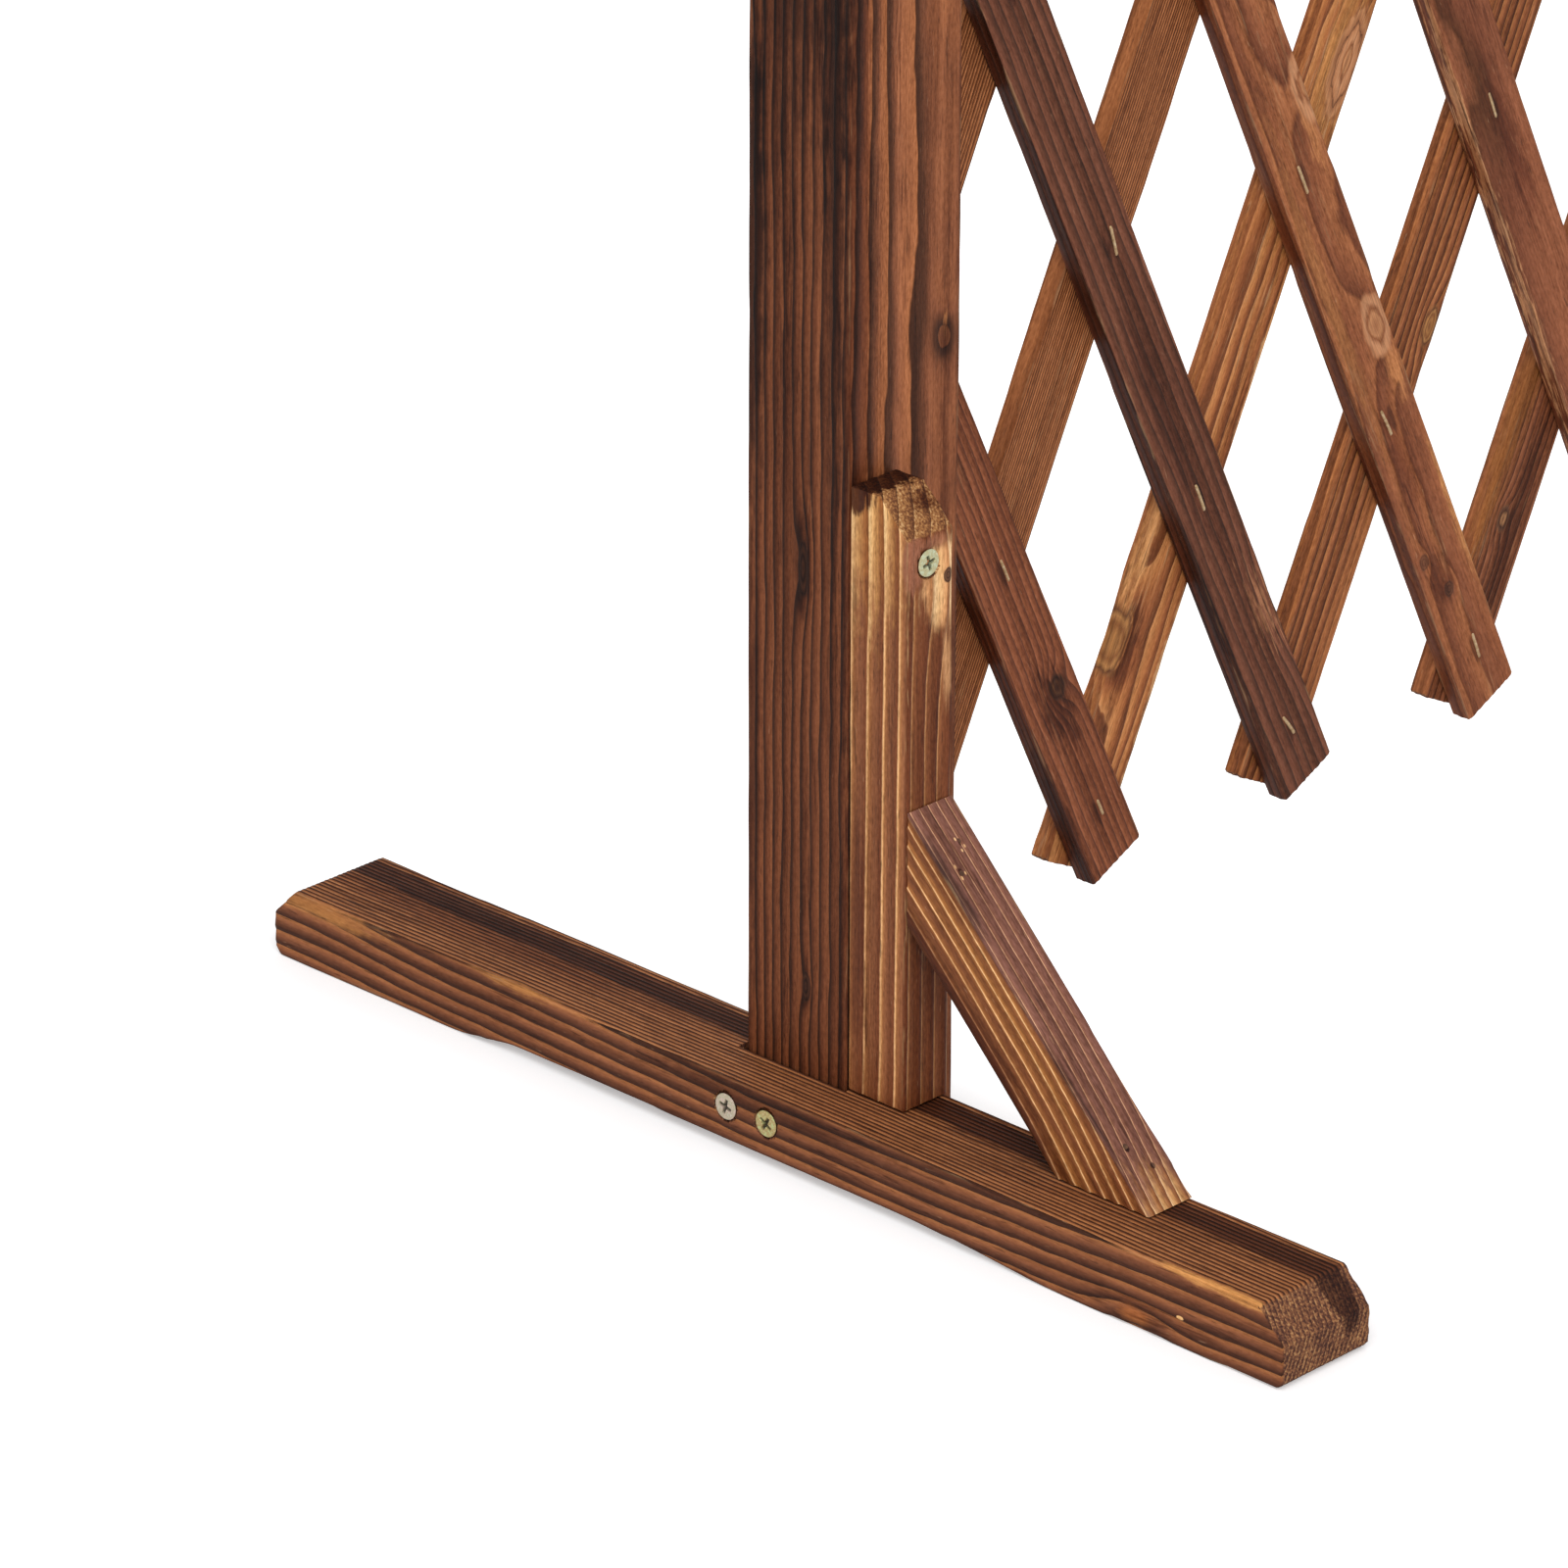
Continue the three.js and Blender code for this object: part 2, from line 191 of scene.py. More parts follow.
print("a bench knows", [name for name in vars(Bench) if not name.startswith("_")])

# %% Colours from their codes
def tint(code):
    """A colour written as six hex digits of the sRGB code, as the linear colour that is mixed."""
    shares = [int(code[i:i + 2], 16) / 255 for i in (0, 2, 4)]
    return tuple(s / 12.92 if s <= 0.04045 else ((s + 0.055) / 1.055) ** 2.4 for s in shares) + (1.0,)


def ramp(text):
    """Places and codes in a row, as in "0 3b241b  0.45 6a4530", as pairs for a colour ramp."""
    words = text.split()
    return [(float(place), code) for place, code in zip(words[::2], words[1::2])]


def ring_ramp(text):
    """The same through one growth ring, which ends in the colour that the next one begins with."""
    stops = ramp(text)
    return stops + [(1.0, stops[0][1])]


print("scorched brown", tint("6b4434"))

# %% [markdown]
# ## Growth rings as a formula
# A board is sawn out of a trunk, so its rings are circles round the pith, which usually lies outside
# the board. Cut close to the radius they show as fine straight lines; cut along them, as broad wavy
# bands. One formula gives both: the distance from the pith, with a slow wander along the grain and a
# push round each knot, divided by the width of a ring. Each board has its own numbers. The place
# inside a board is its grain vector, in millimetres: along, across and through.

# %% Rings at a place in a board
FIR_NUMBERS = (
    "pith_across", "pith_through", "ring_width", "drift", "sway", "ripple",
    "relief_across", "relief_through", "rough", "seed",
)
KNOT_NUMBERS = ("reach_along", "reach_across", "reach_through", "push", "burst")
PUSHED_WIDTH = 1.6
WAVE_REACH = (260.0, 90.0, 90.0)
RIPPLE_REACH = (48.0, 12.0, 12.0)
HARD_FROM, HARD_FULL, HARD_END = 0.30, 0.82, 0.93


def fir(**numbers):
    """The numbers of one board, with those of a plain board where none is given."""
    plain = {
        "pith_across": 40.0, "pith_through": 5.0, "ring_width": 3.0, "drift": 0.0, "sway": 4.0,
        "ripple": 0.8, "relief_across": 0.25, "relief_through": 0.25, "rough": 0.15, "seed": 1.0,
        "knots": [],
    }
    return SimpleNamespace(**{**plain, **numbers})


def knot(place, reach, push=5.0, burst=0.0, shown=0.85, stops=None, core=1.0, turns=2.6):
    """A knot at a place, reaching so far along, across and through. Rings are pushed away from it."""
    numbers = dict(zip(KNOT_NUMBERS, (*reach, push, burst)))
    return SimpleNamespace(
        place=place, shown=shown, stops=stops or KNOT_STOPS, core=core, turns=turns, **numbers,
    )


def knot_distance(bench, grain, one):
    """0 at the knot's middle and 1 at its rim."""
    away = bench.vector("SUBTRACT", grain, one.place)
    reach = bench.joined(one.reach_along, one.reach_across, one.reach_through)
    return bench.vector("LENGTH", bench.vector("DIVIDE", away, reach), output="Value")


def bell(bench, distance, width):
    """1 in the middle, falling away to nothing outside the width."""
    spread = distance / width
    return bench.math("EXPONENT", spread * spread * -1.0)


def rings_at(bench, grain, board):
    """Growth rings from the pith to a place: the whole part counts them, the rest is the place in one."""
    along, across, through = bench.parts(grain)
    wave = bench.noise(grain, WAVE_REACH, board.seed) - 0.5
    ripple = bench.noise(grain, RIPPLE_REACH, board.seed + 3.0) - 0.5
    x = across - board.pith_across - along * board.drift
    y = through - board.pith_through
    radius = bench.math("SQRT", x * x + y * y) + wave * board.sway + ripple * board.ripple
    for one in board.knots:
        radius = radius + bell(bench, knot_distance(bench, grain, one), PUSHED_WIDTH) * one.push
    return radius / board.ring_width


def ridge(bench, place):
    """1 on the hard late wood of a ring and 0 in the hollow that brushing left in the soft wood."""
    return bench.smooth(place, HARD_FROM, HARD_FULL) * bench.smooth(place, 1.0, HARD_END)


print("a plain board:", fir())

# %% [markdown]
# ## Ridges, rough sawn edges and the place of a board
# Every board goes through the same finishing nodes. They keep the grain vector as an attribute for the
# shader, sink the soft wood between the ridges, pull the surface in a little at random as a saw and a
# wire brush do, and only then carry the board to its place. Displacing in the board's own space keeps
# one formula for boards that lie, stand and lean. A Displace modifier could do the same with a
# texture, but a texture can't know the knots.

# %% Finishing nodes that every board shares
SHARP_ANGLE = math.radians(38)
SAWN_REACH = (14.0, 3.0, 3.0)
BURST_REACH = (3.0, 2.0, 2.0)
BURST_WIDTH = 1.1


def finish_board(bench, geometry, board, inputs):
    """Keeps the grain attribute, then adds the brushed relief, the place, the shading and the material."""
    grain = bench.node("GeometryNodeInputPosition")
    normal = bench.node("GeometryNodeInputNormal")
    hollow = 1.0 - ridge(bench, bench.math("FRACT", rings_at(bench, grain, board)))
    facing = bench.parts(bench.vector("ABSOLUTE", normal))
    depth = hollow * (facing[1] * board.relief_across + facing[2] * board.relief_through)
    depth = depth + bench.noise(grain, SAWN_REACH, board.seed + 5.0, 3.0) * board.rough
    for one in board.knots:
        near = bell(bench, knot_distance(bench, grain, one), BURST_WIDTH)
        torn = bench.noise(grain, BURST_REACH, board.seed + 8.0, 4.0)
        depth = depth + near * torn * one.burst
    kept = bench.node("GeometryNodeStoreNamedAttribute", {"data_type": "FLOAT_VECTOR", "domain": "POINT"}, {
        "Geometry": geometry, "Name": "grain", "Value": grain,
    })
    moved = bench.node("GeometryNodeSetPosition", None, {
        "Geometry": kept, "Offset": bench.scaled(normal, depth * -1.0),
    })
    return put(bench, moved, inputs)


def put(bench, geometry, inputs):
    """Carries what was made in millimetres to its place, smooths all but its sharp edges and paints it."""
    u, v, w = bench.parts(bench.node("GeometryNodeInputPosition"))
    metres = bench.scaled(inputs["Along"], u * MM)
    metres = bench.vector("ADD", metres, bench.scaled(inputs["Across"], v * MM))
    metres = bench.vector("ADD", metres, bench.scaled(inputs["Through"], w * MM))
    placed = bench.node("GeometryNodeSetPosition", None, {
        "Geometry": geometry, "Position": bench.vector("ADD", metres, inputs["Place"]),
    })
    gentle = bench.node("FunctionNodeCompare", {"data_type": "FLOAT", "operation": "LESS_THAN"}, {
        0: bench.node("GeometryNodeInputMeshEdgeAngle"), 1: SHARP_ANGLE,
    })
    shaded = placed
    for domain, smooth in (("FACE", True), ("EDGE", gentle)):
        shaded = bench.node("GeometryNodeSetShadeSmooth", {"domain": domain}, {
            "Geometry": shaded, "Shade Smooth": smooth,
        })
    real = bench.node("GeometryNodeRealizeInstances", None, {"Geometry": shaded})
    return bench.node("GeometryNodeSetMaterial", None, {"Geometry": real, "Material": inputs["Material"]})


print("edges over", round(math.degrees(SHARP_ANGLE)), "degrees stay sharp")

# %% Trees with named inputs
def placing(place, along, across, material):
    """What goes into a maker's placing inputs. The third axis is square to the other two."""
    axes = {"Along": along, "Across": across, "Through": Vector(along).cross(Vector(across)), "Place": place}
    return {"Material": material, **{name: tuple(axis) for name, axis in axes.items()}}


class Maker:
    """A Geometry Nodes tree with named inputs, and a way to turn what it makes into a plain mesh."""

    def __init__(self, name, inputs):
        self.tree = bpy.data.node_groups.new(name, "GeometryNodeTree")
        self.bench = Bench(self.tree)
        face = self.tree.interface
        face.new_socket("Geometry", in_out="INPUT", socket_type="NodeSocketGeometry")
        face.new_socket("Geometry", in_out="OUTPUT", socket_type="NodeSocketGeometry")
        self.keys = {
            label: face.new_socket(label, in_out="INPUT", socket_type=f"NodeSocket{kind}").identifier
            for label, kind in inputs.items()
        }
        source = self.tree.nodes.new("NodeGroupInput")
        self.inputs = {socket.name: Wire(self.bench, socket) for socket in source.outputs if socket.name}

    def ends_in(self, wire):
        result = self.tree.nodes.new("NodeGroupOutput")
        self.tree.links.new(wire.socket, result.inputs[0])

    def make(self, name, values, start=None):
        host = bpy.data.objects.new(name, start or bpy.data.meshes.new(name))
        bpy.context.collection.objects.link(host)
        modifier = host.modifiers.new("make", "NODES")
        modifier.node_group = self.tree
        for label, value in values.items():
            modifier[self.keys[label]] = value
        graph = bpy.context.evaluated_depsgraph_get()
        plain = bpy.data.meshes.new_from_object(host.evaluated_get(graph))
        host.modifiers.remove(modifier)
        host.data = plain
        plain.name = name
        return host


print("a thing is placed by", ", ".join(placing((0, 0, 0), (1, 0, 0), (0, 1, 0), None)))

# %% Named inputs for a board
KNOTS_PER_BOARD = 4
PLACING = {**dict.fromkeys(("Along", "Across", "Through", "Place"), "Vector"), "Material": "Material"}


def board_inputs():
    """The inputs that describe a board's wood and its place."""
    inputs = {name: "Float" for name in FIR_NUMBERS}
    for i in range(KNOTS_PER_BOARD):
        inputs[f"knot {i} place"] = "Vector"
        inputs.update({f"knot {i} {name}": "Float" for name in KNOT_NUMBERS})
    return {**inputs, **PLACING}


def board_of(inputs):
    """The same board that fir() describes, with wires in place of its numbers."""
    knots = [
        SimpleNamespace(place=inputs[f"knot {i} place"], **{n: inputs[f"knot {i} {n}"] for n in KNOT_NUMBERS})
        for i in range(KNOTS_PER_BOARD)
    ]
    return SimpleNamespace(knots=knots, **{name: inputs[name] for name in FIR_NUMBERS})


def board_values(board, place, along, across, material):
    """What goes into those inputs for one real board."""
    values = {name: float(getattr(board, name)) for name in FIR_NUMBERS}
    idle = knot((0.0, 0.0, 0.0), (1.0, 1.0, 1.0), push=0.0)
    for i in range(KNOTS_PER_BOARD):
        one = board.knots[i] if i < len(board.knots) else idle
        values[f"knot {i} place"] = one.place
        values.update({f"knot {i} {name}": float(getattr(one, name)) for name in KNOT_NUMBERS})
    return {**values, **placing(place, along, across, material)}


bar_maker = Maker("worked bar", board_inputs())
bar_maker.ends_in(finish_board(
    bar_maker.bench, bar_maker.inputs["Geometry"], board_of(bar_maker.inputs), bar_maker.inputs,
))
print("worked bar:", len(bar_maker.tree.nodes), "nodes")

# %% [markdown]
# ## Scorched fir
# The flame and the brush leave three things to see: the colour that runs through each ring from soft
# wood to hard wood, dark scorch in soft edged patches, and a fine silky fibre. Ends of boards look
# different, because there the fibres are cut across and the surface is a dark speckle. The material
# reads the grain attribute, so the colours always lie on the ridges of the mesh, and all numbers that
# differ from board to board are worked out in Python.

# %% How wood is described
DAYLIGHT = (1.13, 0.96, 0.73)
EDGE_REACH = 1.6
EDGE_FULL = 0.2
NAIL_HALO = (8.0, 1.9, 3.0)
NAIL_REACH = 7.5
NAIL_STAIN = "6a4a40"
SMOKE_COLOUR = "7a5c4c"
KNOT_STOPS = ramp("0 3b241b  0.45 6a4530  0.8 4a2e22  1 2f1d17")
PALE_KNOT = ramp("0 a46a46  0.28 c88c60  0.42 905634  0.58 d0946a  0.86 c4845a  1 502e1f")
WARM_KNOT = ramp("0 6a4028  0.35 b8804a  0.6 8a5630  0.8 c08850  1 54301f")
SMALL_KNOT = ramp("0 6e4630  0.4 a87850  0.7 4c2e20  1 6e4a36")
END_STOPS = ramp("0 321e16  0.36 55342a  0.5 7d5038  0.62 a06e48  0.8 c89a68")


def look(stops, **others):
    """How a board's wood is coloured, with what is usual where nothing is given."""
    usual = {
        "uneven": 0.25, "streak": 0.8, "fibre": 1.6, "bump": 1.0, "end_stops": END_STOPS, "nailed": 0.0,
        "scorch": 0.35, "scorch_colour": "825f50", "smoke": 0.6, "torn": 0.0, "torn_colour": "dca878",
        "flecks": 0.35, "fleck_colour": "d6a880", "worn": 0.5, "worn_colour": "b98f68",
        "faces": [], "clouds": [],
    }
    return SimpleNamespace(stops=stops, **{**usual, **others})


def face(direction, strength, reach, colour, blend="MULTIPLY"):
    """One side of a board that has another colour, down to so many millimetres below it."""
    return SimpleNamespace(direction=direction, strength=strength, reach=reach, colour=colour, blend=blend)


def cloud(place, reach, colour, strength=1.0, blend="MULTIPLY", inner=0.3, ragged=0.7, fine=0.6):
    """A soft patch on part of a board that darkens it, or mixes in another colour or set of ring colours."""
    return SimpleNamespace(
        place=place, reach=reach, colour=colour, strength=strength, blend=blend, inner=inner, ragged=ragged,
        fine=fine,
    )


def patch(place, reach, colour, strength=1.0, **others):
    """A cloud that covers the wood's own colour."""
    return cloud(place, reach, colour, strength, "MIX", **others)


print("end grain has", len(END_STOPS), "colours")

# %% Noises of the wood
# Each has its reach in millimetres along, across and through, its own seed and how many times it is
# broken up finer. The first five swing about zero and the others run from 0 to 1.
SWINGING = {
    "streak": ((140.0, 3.5, 3.5), 11.0, 3.0),
    "fibre": ((26.0, 0.8, 0.8), 13.0, 3.0),
    "blotch": ((8.0, 4.5, 4.5), 41.0, 3.0),
    "tuft": ((18.0, 1.1, 1.1), 43.0, 3.0),
    "pores": ((2.6, 0.8, 0.8), 53.0, 3.0),
}
COVERING = {
    "flame": ((150.0, 15.0, 15.0), 17.0, 3.0),
    "dash": ((11.0, 0.9, 0.9), 37.0, 2.0),
    "fleck": ((8.0, 0.9, 0.9), 31.0, 2.0),
    "region": ((70.0, 9.0, 9.0), 47.0, 2.0),
    "wear": ((22.0, 2.0, 2.0), 19.0, 3.0),
    "speck": ((1.1, 0.9, 0.9), 23.0, 3.0),
    "patchy": ((30.0, 9.0, 9.0), 29.0, 2.0),
}
print(len(SWINGING) + len(COVERING), "noises")

# %% The wood material
def scorched_fir(name, board, wood, axis, half):
    """Brushed fir. axis is the board's length in space and half its half sizes in millimetres."""
    material = bpy.data.materials.new(name)
    bench = emptied(material)
    grain = bench.node("ShaderNodeAttribute", {"attribute_name": "grain"}, output="Vector")
    along, across, through = bench.parts(grain)
    rings = rings_at(bench, grain, board)
    place = bench.math("FRACT", rings)
    count = bench.math("FLOOR", rings)

    each = bench.node("ShaderNodeTexWhiteNoise", {"noise_dimensions": "1D"}, {"W": count + board.seed})
    streak, fibre, blotch, tuft, pores = (
        bench.noise(grain, reach, board.seed + own, detail) - 0.5 for reach, own, detail in SWINGING.values()
    )
    flame, dashes, flecks, region, wear, speck, patchy = (
        bench.noise(grain, reach, board.seed + own, detail) for reach, own, detail in COVERING.values()
    )
    grit = (fibre * 0.65 + pores * 0.75) * wood.fibre
    gain = 1.0 + (each - 0.5) * wood.uneven + streak * wood.streak + grit

    def painted(paint):
        """A plain colour, or the colours from the start of a ring to its end."""
        if isinstance(paint, str):
            return bench.node("ShaderNodeRGB", {"shade": tint(paint)})
        return bench.node("ShaderNodeValToRGB", {"stops": paint}, {"Fac": place})

    def clouded(colour, one):
        away = bench.vector("DIVIDE", bench.vector("SUBTRACT", grain, one.place), one.reach)
        distance = bench.vector("LENGTH", away, output="Value") + (streak + blotch) * one.ragged
        distance = distance + tuft * one.fine
        cover = bench.smooth(distance, 1.0, one.inner) * one.strength
        return bench.mix(colour, painted(one.colour), cover, one.blend)

    colour = painted(wood.stops)
    for one in wood.faces:
        reach = Vector(one.direction) * Vector(half)
        depth = bench.dot(grain, one.direction) - reach.length + one.reach
        cover = bench.smooth(depth + streak * one.reach, 0.0, one.reach * 0.6) * one.strength
        colour = bench.mix(colour, painted(one.colour), cover, one.blend)
    for one in wood.clouds:
        if one.blend == "MIX":
            colour = clouded(colour, one)
    gain = bench.math("MAXIMUM", gain, 0.25)
    golden = bench.joined(gain, bench.math("POWER", gain, 1.2), bench.math("POWER", gain, 1.45))
    colour = bench.vector("MULTIPLY", bench.vector("MULTIPLY", colour, golden), DAYLIGHT)

    scorch = bench.smooth(flame, 0.62 - wood.scorch * 0.3, 0.82 - wood.scorch * 0.3) * wood.scorch
    dash = bench.smooth(dashes, 0.36, 0.26)
    torn = bench.smooth(tuft, 0.0, 0.18) * bench.smooth(region, 0.55, 0.7)
    smoke = bench.smooth(tuft, 0.02, -0.14) * bench.smooth(region, 0.46, 0.32)
    colour = bench.mix(colour, tint(wood.scorch_colour), scorch, "MULTIPLY")
    colour = bench.scaled(colour, 1.0 - dash * 0.45)
    colour = bench.mix(colour, tint(wood.fleck_colour), bench.smooth(flecks, 0.69, 0.78) * wood.flecks)
    colour = bench.mix(colour, tint(wood.torn_colour), torn * wood.torn)
    colour = bench.mix(colour, tint(SMOKE_COLOUR), smoke * wood.smoke, "MULTIPLY")

    for one in board.knots:
        if not one.shown:
            continue
        rim = knot_distance(bench, grain, one)
        core = bench.smooth(rim + (fibre * 0.4 + blotch) * 0.5, one.core, one.core * 0.75)
        inner = bench.node("ShaderNodeValToRGB", {"stops": one.stops}, {
            "Fac": bench.math("FRACT", rim * one.turns + streak * 0.6 + blotch * 0.5),
        })
        colour = bench.mix(colour, bench.scaled(inner, 1.0 + fibre * wood.fibre), core * one.shown)

    if wood.nailed:
        nearest = bench.math("FRACT", (along - NAIL_REACH) / wood.nailed + 0.5) - 0.5
        offset = bench.joined(nearest * wood.nailed, across, through + half[2])
        halo = bench.vector("LENGTH", bench.vector("DIVIDE", offset, NAIL_HALO), output="Value")
        colour = bench.mix(colour, tint(NAIL_STAIN), bench.smooth(halo + fibre, 1.0, 0.5) * 0.6, "MULTIPLY")

    near_side, near_face = (
        size - bench.math("ABSOLUTE", part) for size, part in zip(half[1:], (across, through))
    )
    arris = bench.math("MAXIMUM", near_side, near_face)
    worn = bench.smooth(arris, EDGE_REACH, EDGE_FULL) * bench.smooth(wear, 0.52, 0.66)
    colour = bench.mix(colour, tint(wood.worn_colour), worn * wood.worn)

    normal = bench.node("ShaderNodeTexCoord", output="Normal")
    ended = bench.smooth(bench.math("ABSOLUTE", bench.dot(normal, axis)), 0.5, 0.66)
    end_colour = bench.node("ShaderNodeValToRGB", {"stops": wood.end_stops}, {
        "Fac": speck * 1.15 + patchy * 0.35 - place * 0.3 - 0.12,
    })
    colour = bench.mix(colour, end_colour, ended)
    for one in wood.clouds:
        if one.blend != "MIX":
            colour = clouded(colour, one)

    height = ridge(bench, place) * wood.bump + fibre * 0.5 + pores * 0.4 + streak * 0.2
    height = height + ended * speck * 0.9 - dash * 0.5 + torn * wood.torn * 1.2
    bumped = bench.node("ShaderNodeBump", None, {"Strength": 0.7, "Distance": 0.0004, "Height": height})
    roughness = 0.55 + fibre * 0.3 + scorch * 0.1 + ended * 0.15
    shader = bench.node("ShaderNodeBsdfPrincipled", None, {
        "Base Color": colour, "Roughness": roughness, "Normal": bumped, "Specular IOR Level": 0.16,
    })
    bench.node("ShaderNodeOutputMaterial", None, {"Surface": shader})
    return material


print("what a look can set:", ", ".join(sorted(vars(look([])))))

# %% [markdown]
# ## Bars with notches and grooves
# The posts, feet, blocks and braces are sawn bars. Each is made as the skin of a block of cells: lines
# are ruled along, across and through the bar, the cells of a notch or groove are left out, and only
# faces between wood and air are kept. The rows of even quads that come out are what the relief needs.
# The slanted ends, the hollow under the foot and the eased arrises are then bent into it.

# %% Ruled lines and the skin of a block
EASE = 1.0


def ruled(start, end, step, *marks):
    """Lines from start to end at about a step apart, with the marked places among them."""
    stations = sorted({start, end, *marks})
    lines = [start]
    for near, far in zip(stations, stations[1:]):
        count = max(1, round((far - near) / step))
        lines += [near + (far - near) * (i + 1) / count for i in range(count)]
    return np.array(lines)


def ruled_bar(half, cell, *marks, ends_eased=True):
    """Lines along, across and through a bar, also where its arrises begin and at the given marks."""
    lines = []
    for axis, (size, step, own) in enumerate(zip(half, cell, marks)):
        arrises = (EASE - size, size - EASE) if axis or ends_eased else ()
        lines.append(ruled(-size, size, step, *arrises, *own))
    return lines


def skin(lines, is_air):
    """Corner points and quads of the faces between wood and air in a block of cells."""
    middles = [(line[1:] + line[:-1]) / 2 for line in lines]
    wood = ~is_air(*np.meshgrid(*middles, indexing="ij"))
    padded = np.pad(wood, 1)
    counts = [len(line) for line in lines]
    numbers = np.arange(np.prod(counts)).reshape(counts)
    quads = []
    for axis in range(3):
        for side in (0, 1):
            beyond = np.roll(padded, 1 - 2 * side, axis)[1:-1, 1:-1, 1:-1]
            cells = np.argwhere(wood & ~beyond)
            cells[:, axis] += side
            corners = []
            for one, two in ((0, 0), (1, 0), (1, 1), (0, 1)):
                corner = cells.copy()
                corner[:, (axis + 1) % 3] += one
                corner[:, (axis + 2) % 3] += two
                corners.append(numbers[tuple(corner.T)])
            quad = np.stack(corners, 1)
            quads.append(quad if side else quad[:, ::-1])
    quads = np.concatenate(quads)
    used, quads = np.unique(quads, return_inverse=True)
    points = np.stack([grid.ravel()[used] for grid in np.meshgrid(*lines, indexing="ij")], 1)
    return points, quads.reshape(-1, 4)


def eased(points, half):
    """Rounds the outer arrises of a bar that is centred on its grain space's zero."""
    half = np.array(half)
    inner = half - EASE
    size = np.abs(points)
    beyond = np.maximum(size - inner, 0)
    reach = np.linalg.norm(beyond, axis=1, keepdims=True)
    outer = (size >= half - 1e-6).any(axis=1) & (reach[:, 0] > EASE)
    rounded = np.sign(points) * (np.minimum(size, inner) + beyond * EASE / np.maximum(reach, 1e-9))
    return np.where(outer[:, None], rounded, points)


print("lines ruled on 10 millimetres:", ruled(0.0, 10.0, 3.0, 4.0))

# %% [markdown]
# ## Measures taken from the frame
# The packed model already says where everything is, so sizes are read from it and not typed again:
# a node's box gives a bar's length, width and depth. Left and right are mirror images. Each bar gets
# axes of its own, so that its outer face is always on the minus side across.

# %% Boxes and sides
def middle_and_half(node):
    """The middle of a CAD node's box in metres, and half its sizes in millimetres."""
    low, high = (Vector(corner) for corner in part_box(node))
    return (low + high) / 2, (high - low) / 2 / MM


SIDES = {"left": -1, "right": 1}
print("left post half sizes", [round(x, 2) for x in middle_and_half("left_post")[1]])

# %% Where a piece belongs
def belongs(piece, body, slot, *nodes):
    """A piece rides on its body and stands in for its CAD nodes; the slot for its material is not used."""
    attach(piece, body)
    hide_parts(*nodes)
    return piece


def worked(label, kind, centre, along, half, board, wood, points, quads):
    """Paints a bar of an end frame, sends it through the finishing nodes and says where it belongs."""
    name = f"wood_{label}_{kind}"
    material = scorched_fir(f"{label} {kind} fir", board, wood, along, half)
    values = board_values(board, centre, along, (-SIDES[label], 0, 0), material)
    start = bpy.data.meshes.new(name)
    start.from_pydata(points.tolist(), [], quads.tolist())
    return belongs(bar_maker.make(name, values, start), f"{label}_frame", f"{kind}_wood", f"{label}_{kind}")


def on_both_sides(make):
    """Makes the same bar for the left and the right end frame."""
    for label, side in SIDES.items():
        piece = make(label, side)
        print(piece.name, len(piece.data.polygons), "faces")


print("bars belong to", ", ".join(f"{label}_frame" for label in SIDES))

# %% [markdown]
# ## The feet
# A foot is a 45 by 29 millimetre bar lying front to back. Its ends are bevelled, its underside is
# hollowed so that it stands on its two ends, and an open notch in its inner side takes the post. The
# rings stand nearly upright in it, so its top shows fine lines and its side broad waves.

# %% Seats for the screws
SEAT_RADIUS = 5.35
SEAT_DEPTH = 1.6
SEAT_MARKS = np.linspace(-6.0, 6.0, 25)
ON_FACE = 0.5


def dent(points, axis, level, centre):
    """Sinks a round seat where a screw head goes. The centre names the other two numbers of its place."""
    others = [i for i in range(3) if i != axis]
    on_face = np.abs(points[:, axis] - level) < ON_FACE
    near = np.hypot(points[:, others[0]] - centre[0], points[:, others[1]] - centre[1]) < SEAT_RADIUS
    points[on_face & near, axis] -= math.copysign(SEAT_DEPTH, level)


print("a seat is ruled with", len(SEAT_MARKS), "lines")

# %% The feet
FOOT_CELL = (4.5, 0.42, 0.8)
BEVEL = 12.0
TOE = 3.0
HOLLOW = 4.0
BEARING = 96.0
REAR_RUN = 34.0
FRONT_RUN = 88.0
NOTCH_SLACK = 3.5
JOINT_GAP = 0.3
END_ZONE = 40.0

FOOT_STOPS = ring_ramp("0 b27a50  0.25 966246  0.5 6e4636  0.76 482b21  0.95 3e251b")
FOOT_TOP_STOPS = ring_ramp("0 c08a62  0.35 a06c4a  0.6 4a2a1c  0.9 361f15")


def rise(place, start, run):
    """0 before the start and 1 after the run, with a soft bend at both."""
    share = np.clip((place - start) / run, 0, 1)
    return share * share * (3 - 2 * share)


